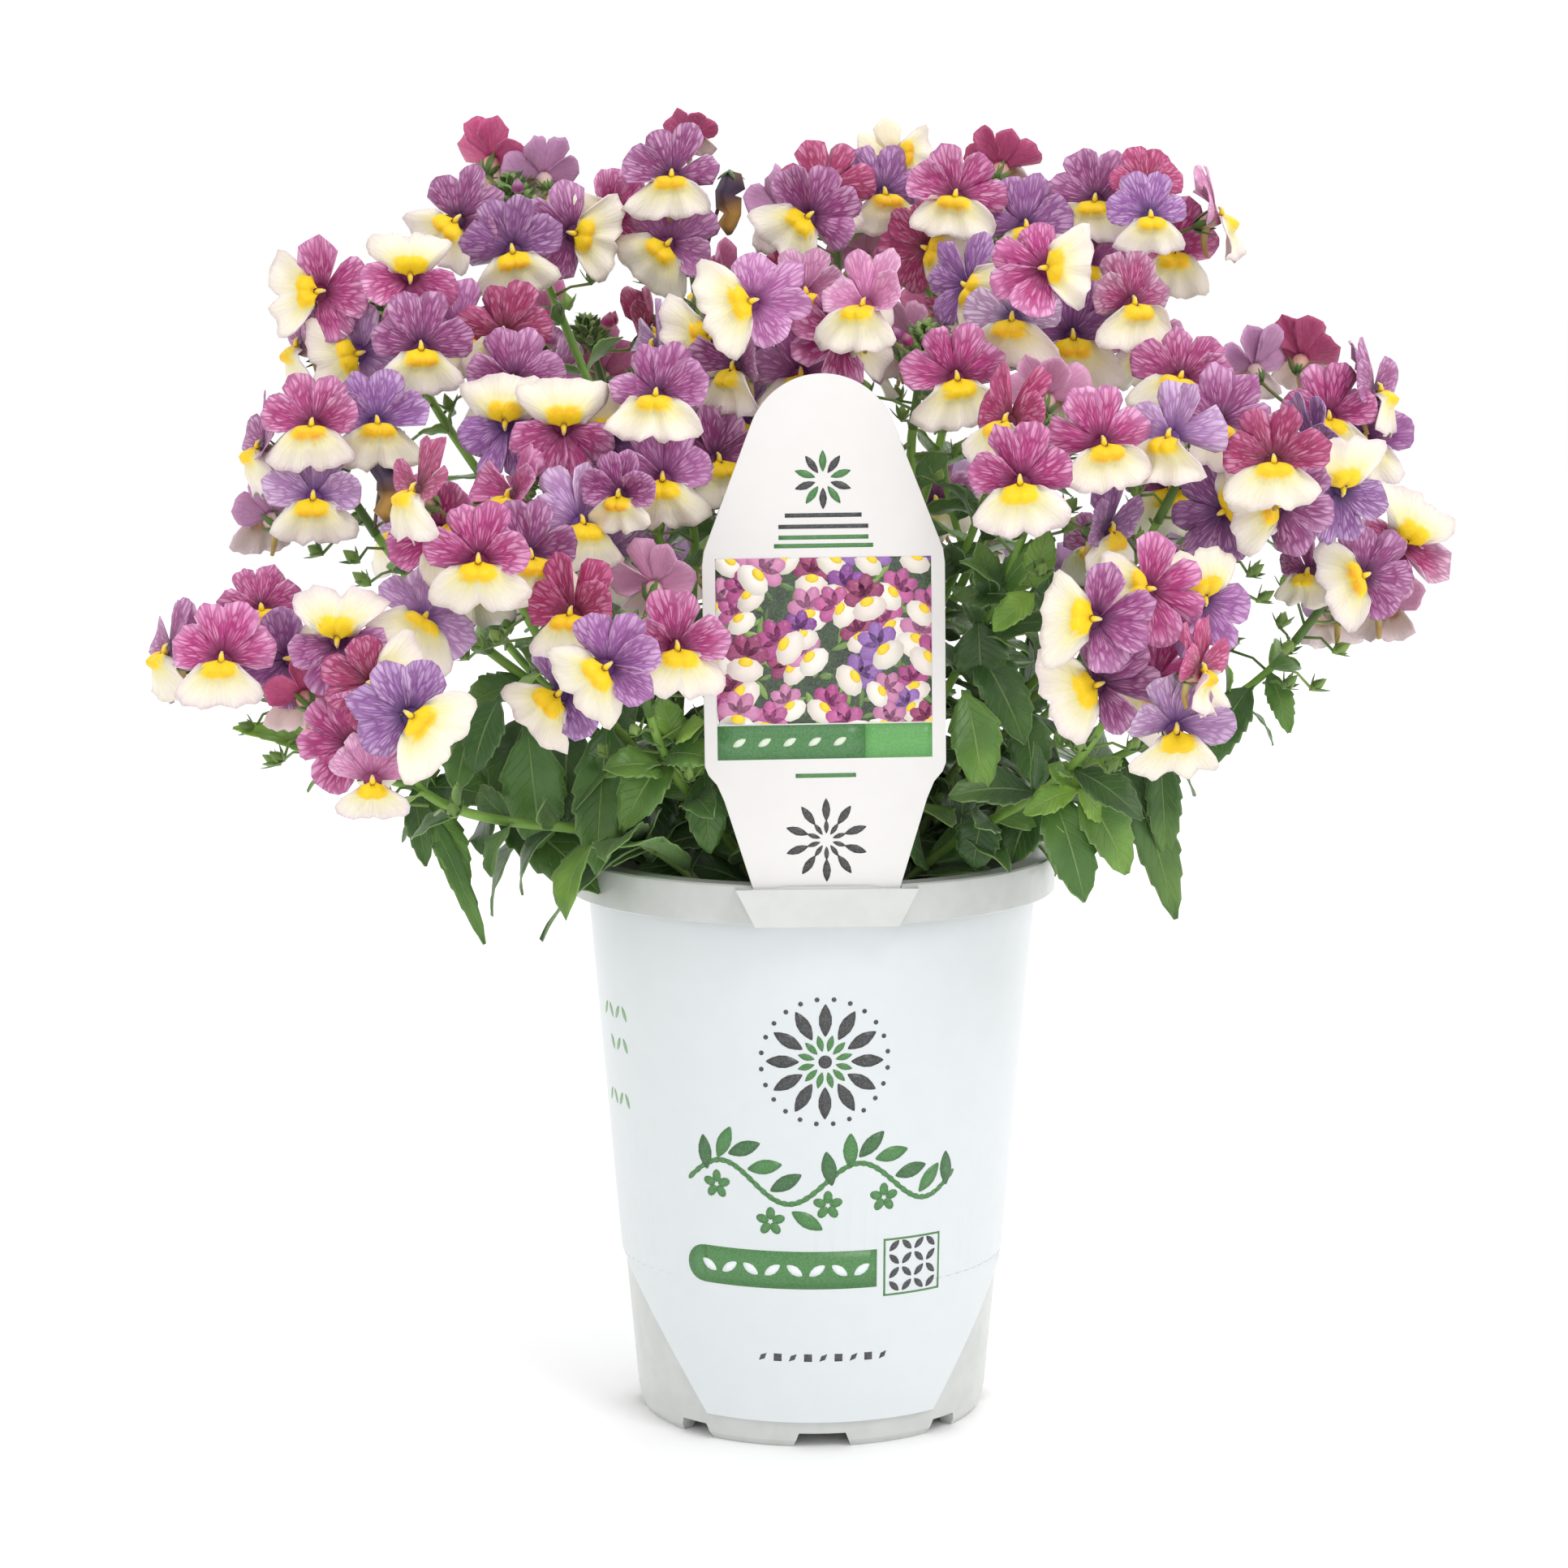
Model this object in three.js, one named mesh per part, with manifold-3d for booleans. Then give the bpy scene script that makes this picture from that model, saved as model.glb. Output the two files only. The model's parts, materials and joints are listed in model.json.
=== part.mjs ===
// A nemesia in full flower, in a tapered nursery pot with a plant tag in its rim.
// Millimetres, +Z up. The origin is on the pot's axis, on the surface that its feet stand on,
// and the tag is on the front, towards -Y.

import * as THREE from "three";
import { mergeVertices } from "three/addons/utils/BufferGeometryUtils.js";
import Module from "manifold-3d";

const wasm = await Module();
wasm.setup();

const { clamp, degToRad } = THREE.MathUtils;
const UP = new THREE.Vector3(0, 0, 1);

// Pot
const POT_HEIGHT = 130;
const RIM_RADIUS = 56;
const RIM_DEPTH = 8.7;
const RIM_LEDGE = 5.8;
const RIM_SKIN = 1.3;
const WALL = 1.2;
const INNER_BASE = 39.1;
const INNER_STEP = 42.0;
const NECK_RADIUS = 51.3;
const STEP_HEIGHT = 37.6;
const STEP_RADIUS = 44.1;
const STEP = 0.9;
const BASE_RADIUS = 40.3;
const FOOT_RADIUS = 38.8;
const FOOT_WIDTH = 3.2;
const FLOOR_HEIGHT = 4.2;
const FLOOR_THICKNESS = 1.8;
const POT_SIDES = 26;
const NOTCH = { count: 8, width: 7, wide: 10.5, height: 3.4, taper: 1.6 };
const DRAIN = { count: 4, radius: 3.4, ring: 22 };
const SIDE_SLOT = { angles: [90, 180, 270], width: 5, height: 6, z: 36 };
const PANEL = { low: 6.3, halfLow: 25, halfHigh: 45 };
const POT_TURN = 3.5; // degrees that the pot's front is turned from -Y towards +X
const POCKET = { halfTop: 19.8, halfLow: 15.6, front: 56.3, back: 50.8, slot: 1.7, floor: 0.9 };

// Plant tag
const TAG_THICKNESS = 1.0;
const TAG_HALF = 26;
const TAG_TOP = 240.1;
const TAG_ARCH = 16.2;
const TAG_SHOULDER = 201.6;
const TAG_WAIST = 154.9;
const TAG_HIP = 148.8;
const TAG_HIP_HALF = 21.9;
const TAG_TAB_HALF = 15.8;
const TAG_Y = -53.8;
const TAG_LEAN = 0.6;

// Soil
const SOIL_TOP = 117;
const SOIL_CROWN = 3;
const SOIL_GAP = 0.35;
const SOIL_SIDES = 16;

// Stems, leaves and flowers
const STEM_RADIUS = 1.15;
const STEM_SIDES = 4;
const STEM_STEPS = 5;
const STEM_DEPTH = 13;
const HOLE_MARGIN = 0.6;
const STALK_LENGTH = 19;
const STALK_RADIUS = 1.3;
const STALK_SIDES = 3;
const PEDICEL_RADIUS = 0.55;
const BUD_TIP = { radius: 2.8, height: 6.5 };
const BLADE = 0.7;
const CLEAR = 0.35;
const HEAD_REACH = 25;
const BLOOM_NUDGES = [0, -3, 3, -6, 6, -9, 9, -13, 13, -17, 17, -22, 22, 28];
const ROOT_SHARE = { x: 0.24, y: 0.34 };
const RISE = 0.42;
const ARRIVE = 0.35;

// A leaf's outline: its half width at shares of its length, with a tooth cut after the widest.
const LEAF_STATIONS = [
  { share: 0, half: 0.14 },
  { share: 0.36, half: 0.96 },
  { share: 0.46, half: 0.76 },
  { share: 0.68, half: 0.84 },
];
const LEAF_ARCH = 0.1;
const LEAF_FORWARD = -7;
const LEAF_NUDGES = [0, -5, 5, -10, 10, -15, 15, -22, 22];
const SEEN_LEAF_FACE = new THREE.Vector3(0, -0.7, 0.7);
const PAIR = {
  from: 0.36,
  shortest: 24,
  longest: 34,
  width: 0.33,
  out: 0.86,
  along: 0.5,
  droop: 0.2,
};
const PAIR_SPINS = [0, 25, -25, 50, -50, 75, -75, 90];
const BACK_SEED = 101;
const LEAF_SEED = 301;

// One half of a bloom's rim, from the notch at its top to the foot of its lip. Angles are from
// the top, in degrees, and forward is towards the viewer.
const HALF_RIM = [
  { angle: 0, radius: 9.2, forward: -0.4 },
  { angle: 21, radius: 12.0, forward: -1.4 },
  { angle: 44, radius: 8.6, forward: 0 },
  { angle: 74, radius: 10.9, forward: -0.3 },
  { angle: 108, radius: 4.2, forward: 0.8 },
  { angle: 133, radius: 11.6, forward: 2.4 },
];
// The same with fewer corners, for a bloom inside the plant or one that shows its back
const PLAIN_RIM = [
  { angle: 0, radius: 9.2, forward: -0.4 },
  { angle: 24, radius: 11.9, forward: -1.2 },
  { angle: 74, radius: 10.9, forward: -0.3 },
  { angle: 108, radius: 4.2, forward: 0.8 },
  { angle: 133, radius: 11.6, forward: 2.4 },
];
const PALATE = { up: -3.0, forward: 4.6 };
const LIP_FROM = 100;
const TUBE = { up: -2.4, back: 5.0, corner: 20 };

// The plant's flower heads, as seen from the front by an eye at this place. Where a head or a
// bloom stands is a pixel of that view, 1932 pixels wide, with its depth behind the pot's axis.
const EYE = { distance: 900, height: 270, pitch: 7.93, focus: 4892, middle: 966, axisShift: 34 };

const HEADS = {
  north_west: {
    tip: [632, 236],
    depth: 34,
    blooms: [
      { at: [564, 271], roll: 40 },
      { at: [632, 308], roll: -10 },
      { at: [705, 287], roll: -80 },
      { at: [753, 268], roll: 65 },
      { at: [607, 196], turn: 160, tilt: 20, size: 0.85 },
      { at: [668, 216], turn: -150, tilt: 20, size: 0.8 },
    ],
  },
  north: {
    tip: [842, 258],
    depth: 44,
    blooms: [
      { at: [828, 217] },
      { at: [823, 300], roll: 40 },
      { at: [851, 166], turn: 170, tilt: 35, size: 0.6 },
    ],
  },
  west_high: {
    tip: [472, 388],
    depth: 8,
    blooms: [
      { at: [395, 360], roll: 80 },
      { at: [505, 342], roll: 180 },
      { at: [443, 435], roll: 75 },
      { at: [518, 428] },
      { at: [370, 424], turn: -70 },
      { at: [566, 411], turn: 35 },
    ],
  },
  west: {
    tip: [402, 566],
    depth: -20,
    blooms: [
      { at: [385, 524] },
      { at: [464, 521], turn: 15 },
      { at: [322, 551], turn: -70 },
      { at: [387, 612] },
      { at: [332, 636], turn: -140, tilt: 10, size: 0.85 },
    ],
  },
  west_behind: {
    inner: true,
    tip: [648, 424],
    depth: 20,
    blooms: [{ at: [621, 411] }, { at: [633, 470] }],
  },
  mid_west: {
    inner: true,
    tip: [664, 580],
    depth: -22,
    blooms: [
      { at: [694, 528], roll: 180 },
      { at: [624, 523], roll: 180 },
      { at: [746, 541], roll: 170 },
      { at: [746, 683], turn: 20 },
    ],
  },
  center_west: {
    inner: true,
    tip: [836, 540],
    depth: -24,
    blooms: [
      { at: [809, 487] },
      { at: [817, 589] },
      { at: [882, 566], turn: 45 },
      { at: [764, 609], size: 0.8 },
    ],
  },
  low_west: {
    tip: [596, 640],
    depth: -48,
    blooms: [
      { at: [539, 655], roll: -45 },
      { at: [590, 690] },
      { at: [652, 684], turn: 25 },
      { at: [630, 611], turn: -60 },
      { at: [513, 604], turn: -60 },
      { at: [715, 643], turn: 35 },
    ],
  },
  center: {
    inner: true,
    tip: [958, 396],
    depth: -4,
    blooms: [
      { at: [986, 460] },
      { at: [1040, 413], roll: -90 },
      { at: [907, 452], turn: -50 },
      { at: [914, 517] },
      { at: [879, 415], roll: 80 },
      { at: [927, 372], roll: 70 },
      { at: [992, 361], size: 0.85 },
      { at: [807, 424], turn: -75, size: 0.85 },
    ],
  },
  north_mid: {
    tip: [1034, 268],
    depth: 46,
    blooms: [
      { at: [1089, 239] },
      { at: [1017, 232] },
      { at: [997, 267], roll: 45 },
      { at: [960, 262], turn: -130, tilt: 10, size: 0.9 },
      { at: [1103, 193], roll: -80, size: 0.85 },
      { at: [1068, 318], turn: 160, tilt: 10, size: 0.85 },
    ],
  },
  north_east_mid: {
    tip: [1216, 292],
    depth: 26,
    blooms: [
      { at: [1178, 242], roll: 5 },
      { at: [1263, 279] },
      { at: [1143, 306], roll: -70 },
      { at: [1234, 204], turn: 160, tilt: 20, size: 0.8 },
    ],
  },
  north_east: {
    tip: [1394, 262],
    depth: 34,
    blooms: [
      { at: [1350, 247] },
      { at: [1413, 229], size: 0.75 },
      { at: [1417, 266], size: 0.85 },
      { at: [1443, 308] },
      { at: [1500, 263], turn: 75 },
      { at: [1339, 324] },
      { at: [1310, 283], turn: -50, size: 0.85 },
    ],
  },
  east_mid: {
    inner: true,
    tip: [1300, 358],
    depth: 0,
    blooms: [
      { at: [1192, 352], roll: -60 },
      { at: [1248, 392] },
      { at: [1321, 414], size: 1.1 },
      { at: [1288, 331], roll: -90 },
      { at: [1395, 373] },
      { at: [1403, 425], tilt: -20 },
    ],
  },
  center_east: {
    inner: true,
    tip: [1140, 418],
    depth: -14,
    blooms: [
      { at: [1178, 465], roll: -5 },
      { at: [1117, 424], turn: 165, tilt: 15, size: 0.85 },
      { at: [1066, 376], turn: -30 },
    ],
  },
  east_low_mid: {
    inner: true,
    tip: [1300, 536],
    depth: -42,
    blooms: [
      { at: [1243, 518], turn: -50 },
      { at: [1258, 593], roll: -5 },
      { at: [1358, 546], roll: -5 },
      { at: [1290, 488], turn: 165, tilt: 20, size: 0.85 },
      { at: [1366, 650], turn: 55 },
    ],
  },
  east: {
    inner: true,
    tip: [1476, 545],
    depth: -16,
    blooms: [
      { at: [1455, 466], roll: 15 },
      { at: [1502, 520], roll: 20 },
      { at: [1443, 537], turn: -40 },
      { at: [1443, 599] },
    ],
  },
  east_far: {
    tip: [1634, 494],
    depth: 22,
    blooms: [
      { at: [1637, 514] },
      { at: [1680, 541] },
      { at: [1696, 480], turn: 70 },
      { at: [1617, 555], turn: -60 },
      { at: [1544, 452], turn: -160, tilt: 15, size: 0.85 },
      { at: [1603, 440], turn: 160, tilt: 20, size: 0.85 },
    ],
  },
  east_front: {
    tip: [1566, 602],
    depth: -30,
    blooms: [
      { at: [1508, 630], roll: -120 },
      { at: [1575, 622], roll: 80 },
      { at: [1652, 603], roll: 180 },
      { at: [1569, 569] },
    ],
  },
  far_east: {
    tip: [1662, 704],
    depth: -8,
    blooms: [
      { at: [1680, 709], roll: 70 },
      { at: [1728, 670], roll: -150 },
      { at: [1706, 741], turn: 150, tilt: -10, size: 0.9 },
      { at: [1640, 752], turn: -160, tilt: -10, size: 0.85 },
      { at: [1613, 706], turn: -40, size: 0.75 },
    ],
  },
  low_east: {
    tip: [1404, 792],
    depth: -58,
    blooms: [
      { at: [1415, 727], roll: 85 },
      { at: [1482, 739], roll: 170 },
      { at: [1349, 763], roll: 90 },
      { at: [1353, 843], roll: 70 },
      { at: [1420, 843], roll: 45 },
      { at: [1448, 897], tilt: -20 },
      { at: [1479, 824], turn: 65, size: 0.85 },
    ],
  },
  low_center_west: {
    tip: [776, 778],
    depth: -56,
    blooms: [
      { at: [705, 756] },
      { at: [748, 821], roll: 50 },
      { at: [691, 853], roll: 45 },
      { at: [833, 798] },
      { at: [807, 720], turn: 165, tilt: 15, size: 0.85 },
    ],
  },
  far_west: {
    tip: [286, 806],
    depth: -38,
    blooms: [
      { at: [208, 802], turn: -65 },
      { at: [274, 812] },
      { at: [357, 811], roll: -90 },
      { at: [322, 751], roll: -5, size: 0.85 },
    ],
  },
  low_west_front: {
    tip: [442, 862],
    depth: -58,
    blooms: [
      { at: [417, 790], roll: 180 },
      { at: [460, 841], roll: -90, size: 0.9 },
      { at: [504, 881], roll: -50 },
      { at: [434, 918], roll: -70 },
      { at: [522, 762], roll: 35 },
      { at: [374, 855], turn: -150, tilt: 10, size: 0.8 },
      { at: [459, 960], tilt: -25, size: 0.8 },
    ],
  },
};

// The back of the plant: heads at these turns round the pot's axis, from +X towards +Y.
const BACK_HEADS = {
  back_east: { turn: 28, reach: 92, height: 196 },
  back_north_east: { turn: 58, reach: 66, height: 252 },
  back_middle_east: { turn: 70, reach: 95, height: 204 },
  back_north: { turn: 100, reach: 70, height: 256 },
  back_middle_west: { turn: 112, reach: 100, height: 198 },
  back_north_west: { turn: 136, reach: 74, height: 246 },
  back_west: { turn: 156, reach: 94, height: 200 },
};
const BACK_BLOOMS = 4;
const BACK_SPREAD = 17;

// Leafy stems: each carries the heads that it names, and a forked one branches at this share of
// its length. A leaf leaves it at a share of its length, towards a tip that is seen at a pixel.
const FORK = 0.45;
const STEMS = {
  north_west: { heads: ["north_west"] },
  north: { heads: ["north"] },
  west_high: { heads: ["west_high", "west_behind"] },
  west: { heads: ["west"], leaves: [{ from: 0.62, tip: [566, 872], width: 9 }] },
  mid_west: { heads: ["mid_west", "center_west"] },
  low_west: {
    heads: ["low_west"],
    leaves: [
      { from: 0.66, tip: [734, 1078], width: 12 },
      { from: 0.5, tip: [800, 1062], width: 11 },
      { from: 0.74, tip: [640, 800], width: 9 },
    ],
  },
  center: { heads: ["center"] },
  north_mid: { heads: ["north_mid"] },
  north_east_mid: { heads: ["north_east_mid"] },
  north_east: { heads: ["north_east"] },
  east_mid: { heads: ["east_mid", "center_east"] },
  east_low_mid: {
    heads: ["east_low_mid"],
    leaves: [
      { from: 0.72, tip: [1262, 918], width: 11 },
      { from: 0.74, tip: [1306, 770], width: 8 },
      { from: 0.84, tip: [1300, 664], width: 8 },
      { from: 0.8, tip: [1204, 668], width: 8 },
    ],
  },
  east: {
    heads: ["east", "east_front"],
    leaves: [{ from: 0.16, tip: [1136, 1074], width: 15 }],
  },
  east_far: { heads: ["east_far"], leaves: [{ from: 0.62, tip: [1448, 716], width: 8 }] },
  far_east: {
    heads: ["far_east"],
    leaves: [
      { from: 0.6, tip: [1448, 1133], width: 10 },
      { from: 0.68, tip: [1432, 1062], width: 8 },
      { from: 0.88, tip: [1480, 946], width: 10 },
      { from: 0.92, tip: [1592, 902], width: 6 },
    ],
  },
  low_east: {
    heads: ["low_east"],
    leaves: [
      { from: 0.72, tip: [1168, 978], width: 10 },
      { from: 0.76, tip: [1336, 1112], width: 11 },
      { from: 0.84, tip: [1408, 1010], width: 9 },
    ],
  },
  low_center_west: {
    heads: ["low_center_west"],
    leaves: [
      { from: 0.86, tip: [880, 936], width: 10 },
      { from: 0.8, tip: [742, 946], width: 9 },
    ],
  },
  far_west: {
    heads: ["far_west"],
    root: [-31, -4],
    rise: 0.46,
    leaves: [
      { from: 0.7, tip: [518, 940], width: 8 },
      { from: 0.7, tip: [628, 988], width: 10 },
      { from: 0.72, tip: [522, 1068], width: 6 },
      { from: 0.7, tip: [572, 1098], width: 8 },
      { from: 0.72, tip: [596, 1164], width: 5 },
      { from: 0.56, tip: [735, 1104], width: 15 },
      { from: 0.86, tip: [286, 902], width: 6 },
    ],
  },
  low_west_front: { heads: ["low_west_front"], root: [-20, -33], rise: 0.62 },
  back_east: { heads: ["back_east", "back_north_east"] },
  back_middle: { heads: ["back_middle_east", "back_north"] },
  back_west: { heads: ["back_west", "back_north_west"] },
  back_far: { heads: ["back_middle_west"] },
};

// Finishes
const FINISHES = {
  pot: { color: 0xdfe4e6, roughness: 0.4 },
  tag: { color: 0xf1eeec, roughness: 0.3 },
  soil: { color: 0x241a14, roughness: 1.0 },
  stem: { color: 0x3f6a26, roughness: 0.6 },
  head: { color: 0xa8478a, roughness: 0.7 },
};

const group = new THREE.Group();

// Solids

function solid(geometry) {
  const plain = geometry.index ? geometry.clone() : mergeVertices(geometry);
  for (const name of Object.keys(plain.attributes)) {
    if (name !== "position") plain.deleteAttribute(name);
  }
  const merged = mergeVertices(plain, 1e-4);
  const corners = merged.index.array;
  const kept = [];
  for (let i = 0; i < corners.length; i += 3) {
    const [a, b, c] = corners.slice(i, i + 3);
    if (a !== b && b !== c && c !== a) kept.push(a, b, c);
  }
  const vertProperties = Float32Array.from(merged.attributes.position.array);
  const mesh = new wasm.Mesh({ numProp: 3, vertProperties, triVerts: Uint32Array.from(kept) });
  return new wasm.Manifold(mesh);
}

function join(solids) {
  return solids.reduce((whole, next) => whole.add(next));
}

// The outer skin of a joined solid: its largest shell, without loose scraps or sealed hollows.
function outerSkin(mesh) {
  const parent = Array.from({ length: mesh.vertProperties.length / 3 }, (_, i) => i);
  const root = (i) => {
    while (parent[i] !== i) i = parent[i] = parent[parent[i]];
    return i;
  };
  const faces = mesh.triVerts;
  for (let i = 0; i < faces.length; i += 3) {
    parent[root(faces[i])] = root(faces[i + 1]);
    parent[root(faces[i + 1])] = root(faces[i + 2]);
  }
  const counts = new Map();
  for (const corner of faces) counts.set(root(corner), (counts.get(root(corner)) ?? 0) + 1);
  const largest = [...counts.keys()].reduce((a, b) => (counts.get(a) >= counts.get(b) ? a : b));
  return faces.filter((corner) => root(corner) === largest);
}

function addNode(name, whole, finish) {
  const mesh = whole.getMesh();
  const geometry = new THREE.BufferGeometry();
  geometry.setAttribute("position", new THREE.BufferAttribute(mesh.vertProperties, 3));
  geometry.setIndex(new THREE.BufferAttribute(outerSkin(mesh), 1));
  geometry.computeVertexNormals();
  const material = new THREE.MeshStandardMaterial({ ...FINISHES[finish], metalness: 0 });
  const node = new THREE.Mesh(geometry, material);
  node.name = name;
  group.add(node);
}

function meshOf(corners, faces) {
  const geometry = new THREE.BufferGeometry();
  const positions = corners.flatMap((p) => p.toArray());
  geometry.setAttribute("position", new THREE.Float32BufferAttribute(positions, 3));
  geometry.setIndex(faces.flat());
  return geometry;
}

// A closed blade: the same triangles on its front and back, with a wall round its rim.
function blade(front, back, faces) {
  const count = front.length;
  const all = faces.flatMap(([a, b, c]) => [
    [a, b, c],
    [a + count, c + count, b + count],
  ]);
  for (let a = 0; a < count; a++) {
    const b = (a + 1) % count;
    all.push([b, a, a + count], [b, a + count, b + count]);
  }
  return meshOf([...front, ...back], all);
}

function tube(path, radius, sides, steps) {
  const section = new THREE.Shape();
  for (let i = 0; i < sides; i++) {
    const angle = (2 * Math.PI * i) / sides;
    const corner = [radius * Math.cos(angle), radius * Math.sin(angle)];
    if (i === 0) section.moveTo(...corner);
    else section.lineTo(...corner);
  }
  section.closePath();
  return new THREE.ExtrudeGeometry(section, { steps, extrudePath: path, curveSegments: 1 });
}

function lathe(profile, sides) {
  const points = profile.map(([radius, z]) => new THREE.Vector2(radius, z));
  return new THREE.LatheGeometry(points, sides).rotateX(Math.PI / 2);
}

function prism(outline, depth) {
  const shape = new THREE.Shape(outline.map(([x, z]) => new THREE.Vector2(x, z)));
  return new THREE.ExtrudeGeometry(shape, { depth, bevelEnabled: false }).rotateX(Math.PI / 2);
}

// Places

function seen(pixel, depth) {
  const pitch = degToRad(EYE.pitch);
  const across = (pixel[0] - EYE.middle - EYE.axisShift) / EYE.focus;
  const above = (EYE.middle - pixel[1]) / EYE.focus;
  const ray = new THREE.Vector3(
    across,
    Math.cos(pitch) + above * Math.sin(pitch),
    above * Math.cos(pitch) - Math.sin(pitch),
  );
  const length = (depth + EYE.distance) / ray.y;
  return new THREE.Vector3(0, -EYE.distance, EYE.height).addScaledVector(ray, length);
}

// Repeatable draws between 0 and 1
function draws(seed) {
  let state = seed;
  return () => {
    state = (state + 0x6d2b79f5) | 0;
    let t = Math.imul(state ^ (state >>> 15), 1 | state);
    t = (t + Math.imul(t ^ (t >>> 7), 61 | t)) ^ t;
    return ((t ^ (t >>> 14)) >>> 0) / 4294967296;
  };
}

// Keeping pieces clear of each other

const pieces = [];

function boxOf(geometry) {
  geometry.computeBoundingBox();
  return geometry.boundingBox;
}

// Within one node only two blooms have to stay clear of each other.
function isClear(owner, geometry) {
  const box = boxOf(geometry);
  const { isBloom } = geometry.userData;
  const near = pieces.filter(
    (piece) =>
      (piece.owner !== owner || (piece.isBloom && isBloom)) && piece.box.intersectsBox(box),
  );
  if (near.length === 0) return true;
  const tested = solid(geometry);
  return near.every((piece) => tested.intersect(piece.solid).isEmpty());
}

function place(owner, geometry) {
  const { isBloom } = geometry.userData;
  pieces.push({ owner, isBloom, box: boxOf(geometry), solid: solid(geometry) });
}

// Takes the first of several makings of a piece whose outlines stay clear of every other node.
function placeFirstClear(owner, makings) {
  const isFree = ({ outlines }) => outlines.every((outline) => isClear(owner, outline));
  const chosen = makings.find(isFree);
  if (!chosen) throw new Error(`no free place on ${owner}`);
  chosen.parts.forEach((part) => place(owner, part));
}

// Pot

function turned(geometry, degrees) {
  return geometry.rotateZ(degToRad(degrees));
}

function potBody() {
  const rimLow = POT_HEIGHT - RIM_DEPTH;
  const ledge = RIM_RADIUS - RIM_LEDGE;
  const skin = RIM_RADIUS - RIM_SKIN;
  const footInner = FOOT_RADIUS - FOOT_WIDTH;
  const floorTop = FLOOR_HEIGHT + FLOOR_THICKNESS;
  return lathe(
    [
      [0, FLOOR_HEIGHT],
      [footInner - 0.8, FLOOR_HEIGHT],
      [footInner, 0],
      [FOOT_RADIUS, 0],
      [BASE_RADIUS - 0.4, 1.8],
      [BASE_RADIUS, 5],
      [STEP_RADIUS - STEP, STEP_HEIGHT - 0.6],
      [STEP_RADIUS, STEP_HEIGHT],
      [NECK_RADIUS, rimLow],
      [NECK_RADIUS + 0.2, POT_HEIGHT - RIM_SKIN],
      [skin, POT_HEIGHT - RIM_SKIN],
      [skin - 0.2, rimLow],
      [RIM_RADIUS - 0.3, rimLow],
      [RIM_RADIUS, POT_HEIGHT - 0.6],
      [RIM_RADIUS - 0.6, POT_HEIGHT],
      [ledge, POT_HEIGHT],
      [NECK_RADIUS - WALL, rimLow],
      [INNER_STEP, STEP_HEIGHT],
      [INNER_BASE, floorTop],
      [0, floorTop],
    ],
    POT_SIDES,
  );
}

// The smooth panel under the step, with its lower corners cut off, on the front and the back.
function potPanel() {
  const ring = lathe(
    [
      [BASE_RADIUS - 0.9, PANEL.low],
      [BASE_RADIUS + 0.95, PANEL.low],
      [STEP_RADIUS, STEP_HEIGHT],
      [STEP_RADIUS, STEP_HEIGHT + 1],
      [STEP_RADIUS - 1.6, STEP_HEIGHT + 1],
      [STEP_RADIUS - 1.6, STEP_HEIGHT - 1],
      [BASE_RADIUS - 0.9, PANEL.low],
    ],
    POT_SIDES,
  );
  const outline = [
    [-PANEL.halfHigh, STEP_HEIGHT + 2],
    [-PANEL.halfLow, PANEL.low - 1],
    [PANEL.halfLow, PANEL.low - 1],
    [PANEL.halfHigh, STEP_HEIGHT + 2],
  ];
  const across = prism(outline, 100).translate(0, 50, 0);
  return solid(ring).intersect(solid(across));
}

function potPocket() {
  const low = POT_HEIGHT - RIM_DEPTH;
  const outline = [
    [-POCKET.halfLow, low],
    [POCKET.halfLow, low],
    [POCKET.halfTop, POT_HEIGHT - 0.5],
    [-POCKET.halfTop, POT_HEIGHT - 0.5],
  ];
  return prism(outline, POCKET.front - POCKET.back).translate(0, -POCKET.back, 0);
}

function pocketSlot() {
  const low = POT_HEIGHT - RIM_DEPTH + POCKET.floor;
  const half = TAG_TAB_HALF + 0.9;
  const outline = [
    [-half + 1.2, low],
    [half - 1.2, low],
    [half, POT_HEIGHT + 5],
    [-half, POT_HEIGHT + 5],
  ];
  return prism(outline, POCKET.slot).translate(0, TAG_Y + POCKET.slot / 2, 0);
}

function footNotch(width) {
  const outline = [
    [-width / 2 - NOTCH.taper, -1],
    [width / 2 + NOTCH.taper, -1],
    [width / 2, NOTCH.height],
    [-width / 2, NOTCH.height],
  ];
  return prism(outline, 20).translate(0, -30, 0);
}

function pot() {
  let body = solid(potBody()).add(potPanel()).add(solid(potPocket()));
  body = body.subtract(solid(pocketSlot()));
  for (let i = 0; i < NOTCH.count; i++) {
    const notch = footNotch(i === 0 ? NOTCH.wide : NOTCH.width);
    body = body.subtract(solid(turned(notch, (360 * i) / NOTCH.count)));
  }
  for (let i = 0; i < DRAIN.count; i++) {
    const hole = new THREE.CylinderGeometry(DRAIN.radius, DRAIN.radius, 10, 8);
    hole.rotateX(Math.PI / 2).translate(DRAIN.ring, 0, FLOOR_HEIGHT);
    body = body.subtract(solid(turned(hole, 45 + (360 * i) / DRAIN.count)));
  }
  for (const angle of SIDE_SLOT.angles) {
    const slot = new THREE.BoxGeometry(SIDE_SLOT.width, 10, SIDE_SLOT.height);
    slot.translate(0, -STEP_RADIUS, SIDE_SLOT.z + SIDE_SLOT.height / 2);
    body = body.subtract(solid(turned(slot, angle)));
  }
  return body;
}

// Turns a finished solid round the pot's axis.
function turnedSolid(whole, degrees) {
  const { vertProperties, triVerts } = whole.getMesh();
  const geometry = new THREE.BufferGeometry();
  geometry.setAttribute("position", new THREE.BufferAttribute(vertProperties, 3));
  geometry.setIndex(new THREE.BufferAttribute(triVerts, 1));
  return turned(geometry, degrees);
}

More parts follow.
